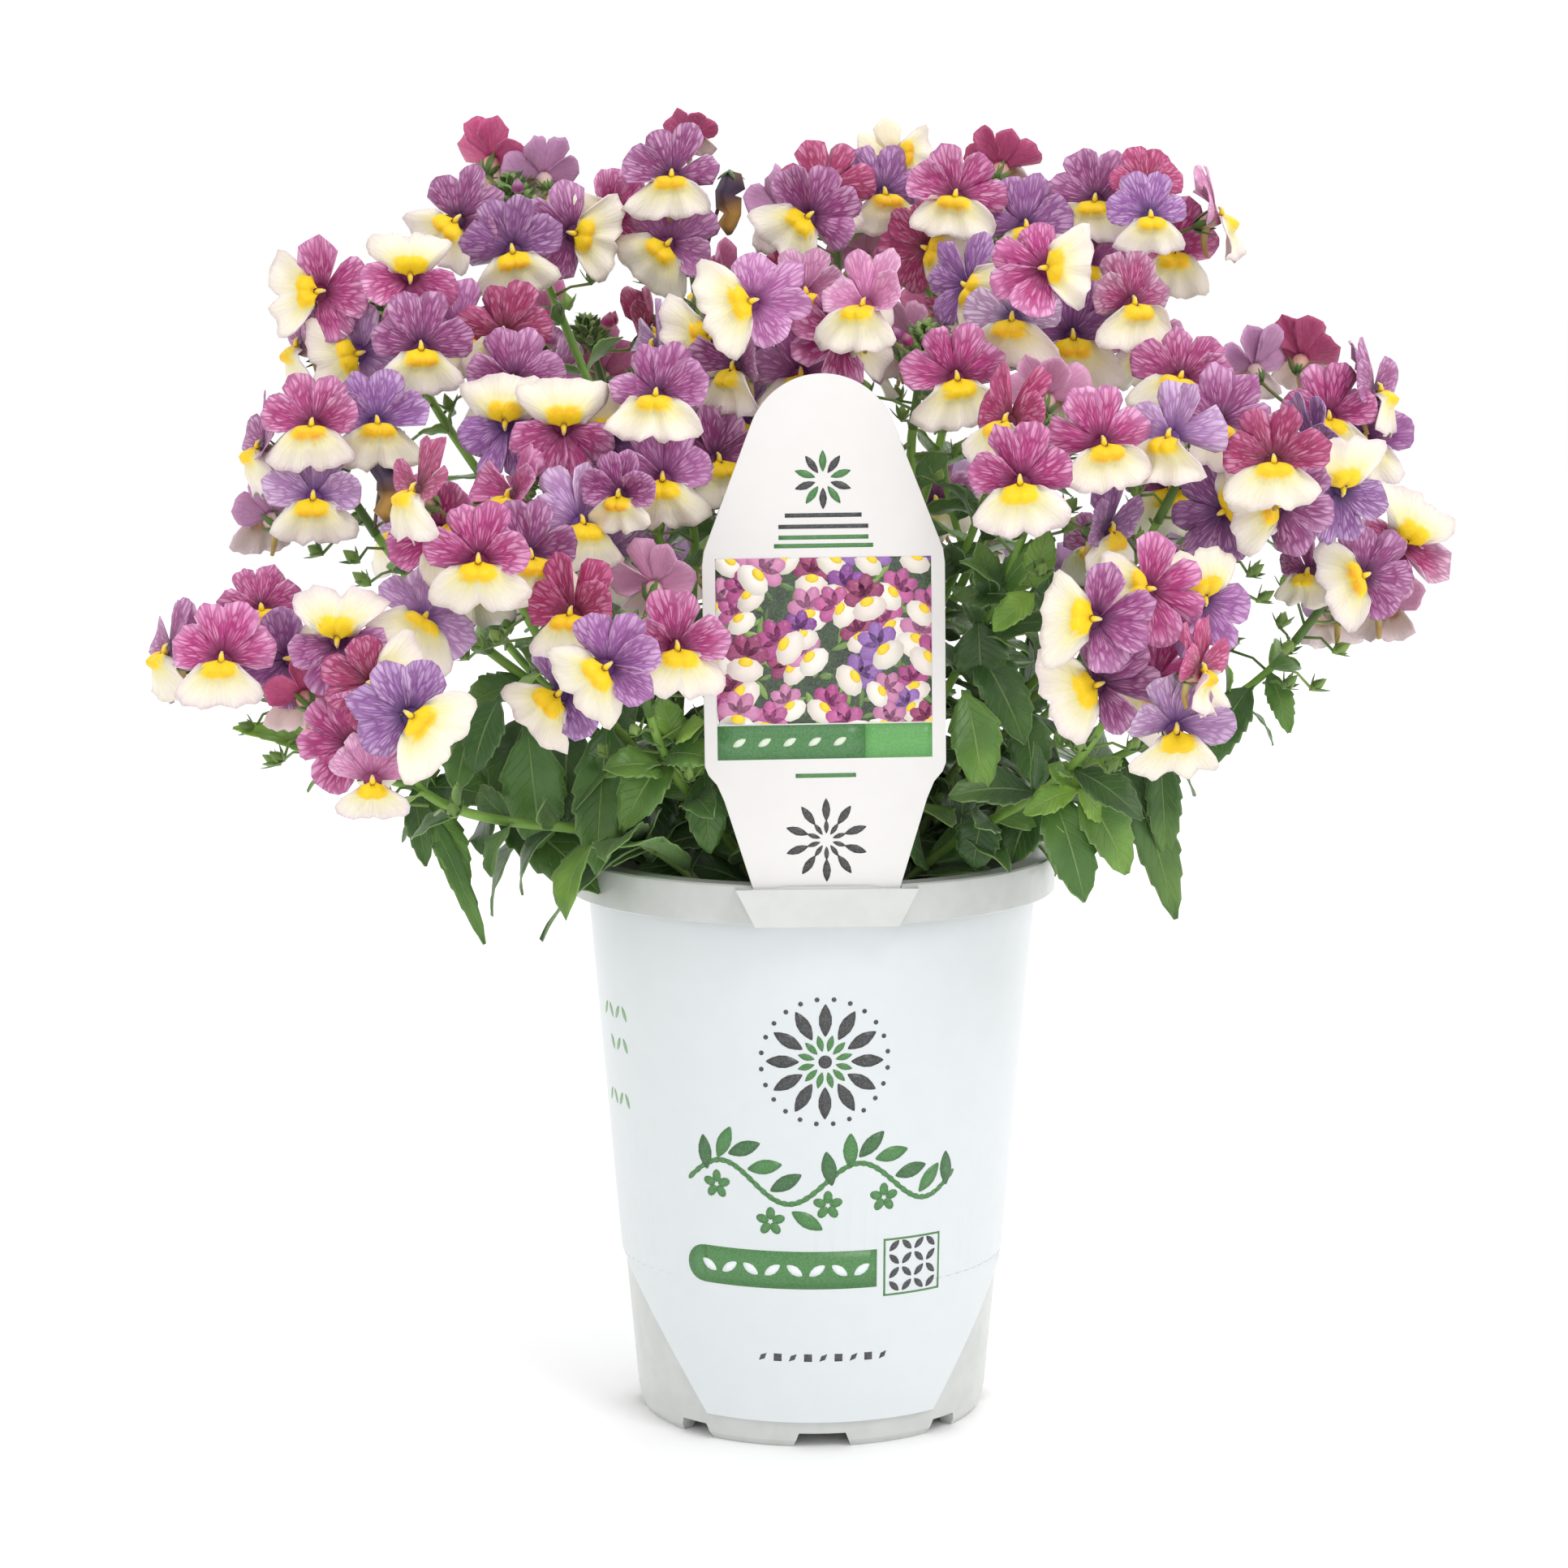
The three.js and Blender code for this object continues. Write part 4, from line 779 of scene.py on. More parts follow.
def add_lip(basket, place, rng):
    v = np.linspace(0, 1, LIP_ROWS)[:, None] ** 1.3
    angle = np.linspace(LIP_ANGLES[0], 360 - LIP_ANGLES[0], LIP_COLUMNS)[None, :]
    off = np.where(angle > 180, 360 - angle, angle)
    bell, full = np.interp(off, LIP_ANGLES, LIP_BELL), np.interp(off, LIP_ANGLES, LIP_FULL)
    share = rng.uniform(0, 1) ** 2
    edge = bell * (1 - share) + full * share
    edge = edge * (1 - rng.uniform(0, 0.14) * smooth(off, 166, 180))
    turns = np.radians(angle)
    ripple = np.sin(turns * rng.uniform(7, 11) + rng.uniform(0, 6))
    edge = edge * (1 + 0.03 * np.sin(turns * rng.uniform(13, 19) + rng.uniform(0, 6)))
    one_side = 1 + rng.uniform(-0.08, 0.08) * np.sin(turns)
    radius = THROAT_RADIUS + (edge * rng.uniform(0.93, 1.05) * one_side - THROAT_RADIUS) * v
    x, y = np.sin(turns) * radius, np.cos(turns) * radius
    v_all = v + 0 * x
    shelf = -0.4 + rng.uniform(1.8, 3.4) * smooth(radius, 0.5, 6.5)
    palate = 2.3 * np.exp(-((x / 3.6) ** 2) - ((y + 2.6) / 2.4) ** 2)
    mound = np.clip(1 - ((np.abs(x) - 1.5) / 2.5) ** 2 - ((y + 2.2) / 2.25) ** 2, 0, 1)
    bumps = 2.1 * mound ** 0.65
    ruffle = rng.uniform(0.5, 1.5) * ripple * v ** 2.4
    flare = rng.uniform(-2.6, 1.8) * smooth(v_all, 0.5, 1.0)
    sides = rng.uniform(-2.2, 0.6) * smooth(np.abs(x), 5.0, 11.0)
    flat = np.stack([x, y, shelf + palate + bumps + ruffle + flare + sides], axis=2)
    skin = blend(blend(CREAM, IVORY, smooth(v_all, 0.35, 0.75)), BLUSH,
                 smooth(v_all, 0.75, 1.0) * rng.uniform(0.2, 1.0))
    throat_stain = np.exp(-((radius - 2.8) / 1.8) ** 2) * smooth(off, 128, 106)
    skin = blend(skin, place["tints"][1], 0.8 * throat_stain)
    amber = rng.uniform(0, 1) ** 1.5 * (1 - smooth(y, -3.4, -1.2)) * smooth(mound, 0.2, 0.8)
    skin = blend(skin, blend(YELLOW, AMBER, amber), smooth(mound, 0.02, 0.22))
    back_skin = blend(skin, blend(BLUSH, place["tints"][3], 0.35), 0.6)
    where = np.stack([turns + 0 * v, 0.98 * v + 0 * turns], axis=2) + place["seed"]
    add_sheet(basket, set_down(place, flat), skin, LIP_THICK, where, back_skin)


# %% What is behind a bloom: its tube, spur, calyx and pedicel
TUBE = [(0, -0.6, 0.2), (0, -1.0, -1.4), (0, -1.7, -3.2), (0, -2.3, -4.7), (0, -2.4, -5.3)]
NUB = [(0, -0.6, 0.6), (0, 0.1, 1.1), (0, 0.9, 1.0), (0, 1.5, 0.4)]
SEPALS, SEPAL_THICK = 5, 0.16
SEPAL_STEPS = np.linspace(0, 1, 5)[:, None]
SEPAL_SHAPE = np.array([[0.4], [0.9], [1.0], [0.65], [0.05]]) * [[-1, 0, 1]]
SEPAL_OUT = np.interp(SEPAL_STEPS, [0, 0.3, 0.7, 1], [0.7, 2.0, 2.7, 3.5])
PEDICEL_YOUNG, PEDICEL_OLD, PEDICEL_SAG = colour("7c9a44"), colour("7d6a4a"), 0.06


def add_bloom_back(greens, petals, place, rng):
    _, throat, _, back, _ = place["tints"]
    add_rod(petals, set_down(place, TUBE), [1.9, 2.1, 1.7, 1.1, 0.6], 9,
            [throat, blend(back, CREAM, 0.3), blend(back, CREAM, 0.5), SEPAL, SEPAL])
    side = rng.uniform(-0.8, 0.8)
    spur = [(0, -1.8, -2.2), (0, -4.2, -3.4), (side, -7.0, -3.8), (side, -9.8, -3.2)]
    add_rod(petals, set_down(place, spur), [1.0, 0.85, 0.7, 0.45], 7,
            [SPUR_ROOT, SPUR_ROOT, SPUR_TIP, SPUR_TIP])
    for k in range(SEPALS):
        a = 2 * math.pi * (k + 0.5) / SEPALS
        width = rng.uniform(0.75, 0.95) * SEPAL_SHAPE
        reach = rng.uniform(4.4, 5.8)
        out = SEPAL_OUT * rng.uniform(0.8, 1.25)
        sideways = math.cos(a) * out - math.sin(a) * width
        upward = -2.4 + 0.9 * SEPAL_STEPS + math.sin(a) * out + math.cos(a) * width
        forward = -5.9 + reach * SEPAL_STEPS - 0.25 * np.abs(width)
        skin = blend(SEPAL, SEPAL_TIP, SEPAL_STEPS * rng.uniform(0, 1) + 0 * width)
        add_sheet(greens, set_down(place, np.stack([sideways, upward, forward], axis=2)), skin,
                  SEPAL_THICK)
    end, foot = set_down(place, (0, -2.4, -5.2)), place["foot"]
    sag = -UP * PEDICEL_SAG * np.linalg.norm(end - foot)
    path = [foot + (end - foot) * t + sag * 4 * t * (1 - t) for t in np.linspace(0, 1, 7)]
    add_rod(greens, path, np.linspace(0.5, 0.42, 7), 6,
            blend(PEDICEL_YOUNG, PEDICEL_OLD, np.linspace(0, 0.8, 7)))
    add_rod(petals, set_down(place, NUB), [0.7, 0.65, 0.5, 0.3], 7,
            [YELLOW, YELLOW, blend(YELLOW, CREAM, 0.4), CREAM])


LOBES = [(-20.5, 25, 12.4, -1.3), (20.5, 25, 12.4, -1.3), (-74, 35, 11.4, 0.1),
         (74, 35, 11.4, 0.1)]


def add_bloom(petals, greens, place, rng):
    *codes, veins = TINTS[place["tint"]]
    # Each bloom's colours are scaled by its own random tone, which runs mostly above one: that
    # lift is painted light, for light shining through the thin petals.
    tone_and_glow = rng.uniform(0.95, 1.28)
    place["tints"] = [colour(code) * [tone_and_glow, tone_and_glow, tone_and_glow, 1] for code in codes] + [veins]
    place["seed"] = int(rng.integers(0, 50))
    for middle, half, length, forward in LOBES:
        length = length * rng.uniform(0.93, 1.04)
        add_lobe(petals, place, (middle + rng.uniform(-3, 3), half, length, forward), rng)
    add_lip(petals, place, rng)
    add_bloom_back(greens, petals, place, rng)


# %% [markdown]
# ## The middle of a head
# Blooms open from the bottom of a head upwards. Its tip is a tight knot of green buds between
# small hairy bracts, with a few closed coloured buds just below, and under the blooms are the
# calyces and flat green capsules of flowers that have fallen.

# %% Stalk, knot of buds, closed buds and capsules
BUD_GREEN, PALE_BUD, BRACT_GREEN = colour("6f9146"), colour("a9c47a"), colour("557a38")
HAIR, KNOT_BUDS, CLOSED_BUDS, CAPSULES = colour("cdd9b0"), 34, 3, 7
GOLDEN_TURN = math.radians(137.5)


def side_ways(axis):
    side = unit(np.cross(axis, [0.2, 1.0, 0.1]))
    return side, np.cross(axis, side)


def blade_frame(along, face):
    """A leaf's or bract's length, and its directions along, across and out of its face."""
    length, along = np.linalg.norm(along), unit(along)
    across = unit(np.cross(along, face))
    return length, along, across, np.cross(across, along)


def add_bract(greens, root, along, up, length, width, skin):
    _, along, across, lift = blade_frame(along, up)
    steps = np.linspace(0, 1, 4)[:, None]
    half = width / 2 * np.sin(math.pi * (0.14 + 0.84 * steps)) * np.array([[-1, 0, 1]])
    points = (root + steps[..., None] * length * along + half[..., None] * across
              + (0.18 * length * steps * (1 - steps) - 0.25 * np.abs(half))[..., None] * lift)
    add_sheet(greens, points, skin, 0.14)


def add_calyx(greens, end, lean, ahead, apart, next_bract):
    """Five bracts round the foot of a bud or capsule; next_bract gives length, width, skin."""
    sides = side_ways(lean)
    for k in range(SEPALS):
        flare = swung(sides, 2 * math.pi * k / SEPALS)
        add_bract(greens, end - lean * 0.4, lean * ahead + flare * apart, flare, *next_bract())


def add_head_middle(petals, greens, stalk, rng):
    tip, base, axis = stalk["tip"], stalk["base"], stalk["axis"]
    sides = side_ways(axis)
    steps = np.linspace(0, 1, 7)
    add_rod(greens, [base - axis + (tip - base + axis) * t for t in steps],
            np.linspace(1.15, 0.8, 7), 8, blend(colour("5c7d34"), colour("4c6b2c"), steps))
    for i in range(KNOT_BUDS):
        share = i / (KNOT_BUDS - 1)
        out = swung(sides, i * GOLDEN_TURN)
        centre = tip + axis * (-4.4 + 8.2 * share) + out * 4.0 * math.sqrt(1 - share ** 1.4)
        lean = unit(out * (1 - 0.5 * share) + axis * 0.8)
        skin = blend(BUD_GREEN, PALE_BUD, rng.uniform(0, 1))
        add_pod(greens, centre, lean, rng.uniform(2.4, 3.3), rng.uniform(0.9, 1.25), skin, 6, 5)
        add_bract(greens, centre - axis * 0.9, out * 1.2 + axis * 0.5, axis,
                  rng.uniform(2.6, 4.0), 1.7, blend(BRACT_GREEN, BUD_GREEN, rng.uniform(0, 0.8)))
        for _ in range(3):
            start = centre + rng.normal(size=3) * 0.9
            add_rod(greens, [start, start + unit(out + rng.normal(size=3) * 0.8) * 1.2],
                    [0.06, 0.02], 3, HAIR)
    for i in range(CLOSED_BUDS):
        out = swung(sides, rng.uniform(0, 2 * math.pi))
        start = tip - axis * rng.uniform(3.0, 6.5)
        end = start + out * rng.uniform(4.0, 6.5) + axis * rng.uniform(1.5, 4.5)
        add_rod(greens, [start, (start + end) / 2 + axis * 0.5, end], [0.35] * 3, 5, BUD_GREEN)
        lean = unit(out + axis * 1.1)
        mid = colour(TINTS[["magenta", "crimson", "plum"][i % 3]][0])
        add_pod(petals, end + lean * 1.8, lean, rng.uniform(4.2, 5.4), rng.uniform(1.3, 1.8),
                [SEPAL, blend(mid, CREAM, 0.5), mid, mid, blend(mid, BLUSH, 0.3), mid])
        add_calyx(greens, end, lean, 1, 0.55, lambda: (2.6, 1.0, SEPAL))
    for i in range(CAPSULES):
        out = swung(sides, i * GOLDEN_TURN + rng.uniform(0, 0.6))
        start = base + axis * (3.0 - 2.6 * i)
        end = start + out * rng.uniform(7, 13) + axis * rng.uniform(-2, 5)
        add_rod(greens, [start, start + (end - start) * 0.5 + axis * rng.uniform(0.5, 2), end],
                [0.38, 0.33, 0.38], 5, blend(colour("5d7a36"), colour("86a24e"), rng.uniform()))
        lean = unit(out * 0.5 + axis)
        add_pod(greens, end + lean * 1.8, lean, rng.uniform(3.8, 5.4), 0.9 * rng.uniform(1.3, 1.9),
                blend(colour("6f8f42"), colour("8dab52"), rng.uniform()))
        add_calyx(greens, end, lean, 0.9, 0.8, lambda: (
            rng.uniform(3.6, 4.8), 1.3, blend(SEPAL, SEPAL_TIP, rng.uniform())))


# %% Two flowers that have withered on their stalks: a crumpled bag that hangs from its calyx
WITHERED = {"west": (475, 562), "north": (899, 212)}
BROWN, DUSKY, STRAW = colour("6b4a33"), colour("4f3d55"), colour("c89a4e")


def add_withered(petals, greens, spot, foot, rng):
    hang = [spot + np.array([rng.normal() * 0.5, rng.normal() * 0.5, -2.4 * k]) for k in range(7)]
    widths = np.array([1.2, 2.9, 2.2, 2.6, 1.7, 1.9, 0.6]) * rng.uniform(0.9, 1.1, 7)
    add_rod(petals, hang, widths, 9, [BROWN, DUSKY, DUSKY, BROWN, STRAW, STRAW, BROWN],
            squareness=0.3)
    add_rod(greens, [foot, (foot + spot) / 2 + UP, spot], [0.45] * 3, 6, BROWN)
    for k in range(SEPALS):
        flare = np.array([math.cos(1.26 * k), math.sin(1.26 * k), 0])
        add_bract(greens, spot + UP * 0.6, flare * 1.6 - UP, flare + UP, 4.2, 1.4, BRACT_GREEN)


# %% Dress every head
HEAD_SEED, WITHERED_NEARER = 5000, 14
for number, (name, found) in enumerate(places.items()):
    rng = np.random.default_rng(HEAD_SEED + number)
    petals, greens = Basket(), Basket()
    for place in found:
        add_bloom(petals, greens, place, rng)
    add_head_middle(petals, greens, stalks[name], rng)
    if name in WITHERED:
        spot = seen(*WITHERED[name], HEADS[name]["depth"] - WITHERED_NEARER)
        add_withered(petals, greens, spot, stalks[name]["base"], rng)
    show(f"blooms_{name}", petals, [petal], [f"head_{name}"])
    show(f"head_greens_{name}", greens, [green])
print("heads dressed:", len(places))

# %% [markdown]
# ## Stems and leaves
# A nemesia's stems are slender and slightly four-angled. They carry toothed, lance-shaped leaves
# in opposite pairs, each pair at a right angle to the one below. Every stem follows a Bézier
# curve from the soil to the foot of its head, and a forked one sends out a second curve.

# %% Curves of the stems
FORK = 0.45
SOIL_TOP = 117
STEM_DEPTH = 13


def curve_point(curve, t):
    a, b, c, d = curve
    return (a * (1 - t) ** 3 + b * 3 * t * (1 - t) ** 2 + c * 3 * t ** 2 * (1 - t)
            + d * t ** 3)


def curve_frame(curve, t):
    """A point of the curve, its tangent, and a level and an upper direction square to that."""
    low, high = max(t - 1e-4, 0), min(t + 1e-4, 1)
    tangent = unit(curve_point(curve, high) - curve_point(curve, low))
    level = unit(np.cross(tangent, UP))
    return curve_point(curve, t), tangent, (level, np.cross(level, tangent))


def stem_curve(start, rise, stalk):
    end = stalk["base"] - stalk["axis"] * 0.7
    span = np.linalg.norm(end - start)
    return [start, start + rise * span, end - stalk["axis"] * 0.35 * span, end]


def stem_curves(name, heads):
    base = stalks[heads[0]]["base"]
    x, y = ROOTS.get(name, (base[0] * 0.24, base[1] * 0.34))
    root = np.array([x, y, SOIL_TOP - STEM_DEPTH])
    curves = [stem_curve(root, UP * RISES.get(name, 0.42), stalks[heads[0]])]
    for head in heads[1:]:
        fork, along, _ = curve_frame(curves[0], FORK)
        curves.append(stem_curve(fork, along * 0.3, stalks[head]))
    return curves


# %% Leaf blades: a midrib fold, an arch, and teeth that point forwards
LEAF_SHARES = [0, 0.07, 0.16, 0.3, 0.42, 0.58, 0.76, 0.9, 1]
LEAF_HALVES = [0.17, 0.22, 0.58, 0.92, 1.0, 0.97, 0.76, 0.44, 0.06]
# Leaf greens: the dark one is old leaves and painted shade low in the bush, the bright one young
# leaves and painted light from behind.
LEAF_OLD_AND_SHADED, LEAF_MID = colour("2d4825"), colour("4f7a35")
LEAF_YOUNG_AND_BACKLIT, LEAF_BACK = colour("90b944"), colour("96b474")
LEAF_THICK, LEAF_FINISH = 0.3, 1


def tooth_stations(teeth):
    """Shares of the length with how far out the edge stands: out, then cut back in."""
    shares, outs = [0, 0.07, 0.16], [1, 1, 1]
    for k in range(teeth):
        start, step = 0.26 + 0.66 * k / teeth, 0.66 / teeth
        shares += [start, start + 0.5 * step, start + 0.84 * step]
        outs += [0.95, 1.03, 1.09]
    return np.array(shares + [0.95, 1]), np.array(outs + [0.95, 1])


def add_leaf(basket, root, tip, width, face, skin, rng, teeth=5, arch=0.1, curl=0.0,
             columns=7):
    length, along, across, normal = blade_frame(tip - root, face)
    shares, outs = tooth_stations(teeth)
    half = np.interp(shares, LEAF_SHARES, LEAF_HALVES) * outs * width / 2
    s = shares[:, None]
    c = np.linspace(-1, 1, columns)[None, :]
    sideways = half[:, None] * c
    fold = rng.uniform(0.1, 0.45) * np.abs(sideways) * (1 - 0.35 * np.abs(c))
    wave = 0.06 * width * np.sin(s * rng.uniform(9, 15) + c * 2 + rng.uniform(0, 6)) * c ** 2
    lift = arch * length * 4 * s * (1 - s) + fold + wave - curl * length * s ** 3
    swing = rng.uniform(-0.05, 0.05) * length * s ** 2
    points = (root + (s * length)[..., None] * along + (sideways + swing)[..., None] * across
              + lift[..., None] * normal)
    # Lighter towards the tip, blended with the young and backlit green: partly painted light.
    shaded = blend(skin, LEAF_YOUNG_AND_BACKLIT, 0.3 * smooth(s + 0 * c, 0.3, 1.0) * rng.uniform(0, 1))
    where = np.stack([(c + 1) / 2 + 0 * s, s + 0 * c], axis=2)
    add_sheet(basket, points, shaded, LEAF_THICK, where, blend(shaded, LEAF_BACK, 0.4),
              LEAF_FINISH)


# %% Grow the leaves that the front view shows, and pairs all the way up each stem
SEEN_FACE = np.array([0, -0.7, 0.7])
LEAF_NUDGES = [0, -5, 5, -10, 10, -15, 15, -22, 22]
PAIR_SPINS, PAIR_SHARE = [0, 25, -25, 50, -50, 75, -75, 90], 0.36
STEM_SEED, LEAF_SEED = 7000, 301
OVER_RIM, ROOT_REACH = 130, 57


def leaf_corners(root, tip, width, face):
    length, along, across, normal = blade_frame(tip - root, face)
    corners = [tip + normal * BLADE / 2]
    for share, half in ((0.36, 0.96), (0.46, 0.76), (0.68, 0.84)):
        arch = 0.1 * length * 4 * share * (1 - share)
        for side in (-1, 1):
            corners.append(root + along * share * length + across * side * half * width / 2
                           + normal * (arch + BLADE / 2))
    return corners


def leaf_tint(rng, height):
    """Low leaves are dark and old, in painted shade; high ones young, with painted light from
    behind.
    """
    share = np.clip(rng.normal(0.15 + 0.65 * height, 0.2), 0, 1) * 2
    if share < 1:
        return blend(LEAF_OLD_AND_SHADED, LEAF_MID, share)
    return blend(LEAF_MID, LEAF_YOUNG_AND_BACKLIT, share - 1)


def add_seen_leaf(basket, node, curve, leaf, rng):
    share, x, y, width = leaf
    root = curve_point(curve, share)
    tips = [seen(x, y, root[1] - 7 + nudge) for nudge in LEAF_NUDGES]
    tip = best_place(node, [(t, leaf_corners(root, t, width, SEEN_FACE)) for t in tips])
    add_leaf(basket, root, tip, width, SEEN_FACE, leaf_tint(rng, 0.45), rng)


def add_solid_pair(basket, node, curve, seed, rng):
    draw = draws(seed)
    root, tangent, sides = curve_frame(curve, PAIR_SHARE)
    spin, length = 360 * draw(), 24 + 10 * draw()
    face = UP + tangent * 0.6
    for side in (0, 180):
        tried = []
        for i, more in enumerate(PAIR_SPINS):
            out = swung(sides, math.radians(spin + side + more))
            reach = length * (1 - 0.04 * i)
            tip = root + out * reach * 0.86 + tangent * reach * 0.5 - UP * reach * 0.2
            width = reach * 0.33
            tried.append(((tip, width), leaf_corners(root, tip, width, face)))
        tip, width = best_place(node, tried)
        add_leaf(basket, root, tip, width, face, leaf_tint(rng, 0.3), rng)


def add_pairs(basket, curve, rng, first, last):
    """Pairs that cross over up the stem, long and hanging low down, short near the head.

    A leaf turns its face outwards, away from the middle of the plant, and a little up.
    """
    points = [curve_point(curve, t) for t in np.linspace(0, 1, 9)]
    length = np.linalg.norm(np.diff(points, axis=0), axis=1).sum()
    t, turn = first, rng.uniform(0, 360)
    while t < last:
        root, tangent, _ = curve_frame(curve, t)
        level = unit(np.cross(tangent, UP + 0.01))
        sides = level, np.cross(level, tangent)
        reach = rng.uniform(0.8, 1.15) * (37 - 26 * t)
        for side in (0, 180):
            out = swung(sides, math.radians(turn + side + rng.uniform(-15, 15)))
            droop = rng.uniform(0.1, 0.45) * (1.1 - t)
            tip = root + reach * (out * 0.75 + tangent * 0.42 - UP * droop)
            radial = unit(tip * [1, 1, 0])
            face = UP * 0.6 + radial * rng.uniform(0.5, 1.0) + tangent * 0.3
            if tip[2] < OVER_RIM and np.hypot(root[0], root[1]) < ROOT_REACH:
                tip[2] = OVER_RIM + rng.uniform(0, 10)  # it lies over the rim, not through it
            add_leaf(basket, root, tip, reach * rng.uniform(0.33, 0.43), face,
                     leaf_tint(rng, t * 0.8), rng, teeth=3, arch=rng.uniform(0.02, 0.14),
                     curl=rng.uniform(0, 0.15), columns=5)
        turn += 90 + rng.uniform(-12, 12)
        t += rng.uniform(10, 14) / length


# %% Leaves that fill the front view near the pot: root and tip as pixels, depth, width, and youth with painted light (low: old, in painted shade; high: young, lit from behind)
FILLERS = read_table("""
low_center_west: 650 896 665 1047 -34 14 0.2, 832 918 763 1021 -44 11 0.3, 867 950 874 1051 -40
  9 0.2, 700 890 694 1010 -26 13 0.2, 832 913 867 955 -46 8 1.1, 832 913 814 858 -46 7 1.1, 832
  913 789 900 -46 7 1.1, 832 913 864 890 -46 7 1.1;
low_west_front: 616 858 577 950 -40 9 0.3, 584 880 561 973 -30 10 0.3, 650 880 612 985 -24 11
  0.2;
east_low_mid: 1190 850 1213 975 -40 11 0.2, 1205 765 1209 850 -34 12 0.2, 1253 734 1176 736 -36
  8 0.4, 1262 872 1273 962 -30 10 0.2, 1277 730 1225 777 -40 7 1.1, 1275 724 1287 653 -38 7 1.1,
  1277 730 1318 772 -40 7 0.9;
low_east: 1290 965 1240 1060 -30 12 0.2, 1212 1000 1196 1070 -36 10 0.2, 1330 968 1392 1075 -44
  11 0.3, 1328 973 1261 999 -48 7 1.1, 1328 973 1366 1011 -48 7 1.1, 1328 973 1380 932 -46 7 1,
  1328 973 1293 940 -46 6 1.1;
east_mid: 1290 700 1300 790 -20 11 0.3, 1330 730 1352 800 -14 9 0.3;
center: 930 700 905 790 -30 10 0.3
""")
STEM_LOW, STEM_HIGH, STEM_RINGS = colour("87995a"), colour("84ad48"), 26
for number, (name, (heads, leaves)) in enumerate(STEMS.items()):
    rng = np.random.default_rng(STEM_SEED + number)
    basket, node = Basket(), f"stem_{name}"
    curves = stem_curves(name, heads)
    for k, curve in enumerate(curves):
        steps = np.linspace(0, 1, STEM_RINGS)
        bend = 0.35 * np.sin(steps * 19 + rng.uniform(0, 6)) * np.sin(math.pi * steps)
        path = [curve_point(curve, t) + np.array([b, b * 0.6, 0]) for t, b in zip(steps, bend)]
        radii = np.linspace(1.25 if k == 0 else 1.05, 0.95, STEM_RINGS)
        add_rod(basket, path, radii, 8, blend(STEM_LOW, STEM_HIGH, smooth(steps, 0.1, 0.6)),
                squareness=0.09)
        add_pairs(basket, curve, rng, 0.22 if k == 0 else 0.2, 0.93)
    for leaf in leaves:
        add_seen_leaf(basket, node, curves[0], map(float, leaf), rng)
    for row in FILLERS.get(name, ((), ()))[1]:
        x, y, to_x, to_y, depth, width, youth_and_light = map(float, row)
        add_leaf(basket, seen(x, y, depth), seen(to_x, to_y, depth + rng.uniform(-10, 4)), width,
                 SEEN_FACE, leaf_tint(rng, youth_and_light), rng, teeth=4, arch=0.06, curl=0.08)
    if not leaves:
        add_solid_pair(basket, node, curves[0], LEAF_SEED + number, rng)
    show(f"leafy_{node}", basket, [green, leaf_skin], [node])
print("stems grown:", len(STEMS))

# %% [markdown]
# ## The nursery pot
# A thin moulded pot: a ledged rim, a tapered wall with a glossy label moulded into it, a step,
# and a foot ring cut into eight short feet. It is turned on a lathe of 160 sides, and everything
# that isn't round is joined on or cut out of it, as the mould's own inserts do.

# %% Moulding helpers: turned rings, prisms, and joining or cutting them
FRONT_TURN = 3.5
POT_SIDES = 160
PLAIN = (1, 1, 1, 1)


def turn_points(points, degrees):
    c, s = circle(degrees)
    x, y, z = np.moveaxis(np.asarray(points, float), -1, 0)
    return np.stack([x * c - y * s, x * s + y * c, z], axis=-1)


def add_turned(basket, profile, sides, finish_of):
    """A body of revolution; its profile starts and ends on the axis."""
    turns = 2 * np.pi * np.arange(sides) / sides
    r, z = np.array(profile[1:-1], float).T[:, :, None]
    rings = np.stack([r * np.cos(turns), r * np.sin(turns), z + 0 * turns], axis=2)
    finishes = [finish_of(*middle) for middle in np.hstack([z[1:] + z[:-1], r[1:] + r[:-1]]) / 2]
    middles = [(0, 0, profile[0][1]), (0, 0, profile[-1][1])]
    add_rings(basket, rings, PLAIN, finish=finishes + [PLASTIC, PLASTIC], middles=middles)


def add_prism(basket, outline, front, back, degrees=0.0, finish=0):
    """A flat outline of four corners (x, z), from y = front to y = back, turned round the axis."""
    corners = [(x, y, z) for y in (front, back) for x, z in outline]
    faces = np.array([[0, 1, 2, 3], [7, 6, 5, 4], [0, 4, 5, 1], [1, 5, 6, 2], [2, 6, 7, 3],
                      [3, 7, 4, 0]])
    basket.add(turn_points(corners, degrees), [faces], PLAIN, finish=finish)


def carve(piece, basket, operation):
    other = put_in("insert", basket.mesh("insert", piece.data.materials))
    step = piece.modifiers.new(operation.lower(), "BOOLEAN")
    step.operation, step.solver, step.object = operation, "EXACT", other
    step.material_mode = "INDEX"
    ready = piece.evaluated_get(bpy.context.evaluated_depsgraph_get())
    made, spares = bpy.data.meshes.new_from_object(ready), [piece.data, other.data]
    piece.modifiers.clear()
    piece.data = made
    bpy.data.objects.remove(other)
    bpy.data.batch_remove(spares)
    made.name = piece.name


def crisp(piece, degrees):
    piece.data.shade_smooth()
    piece.data.set_sharp_from_angle(angle=math.radians(degrees))


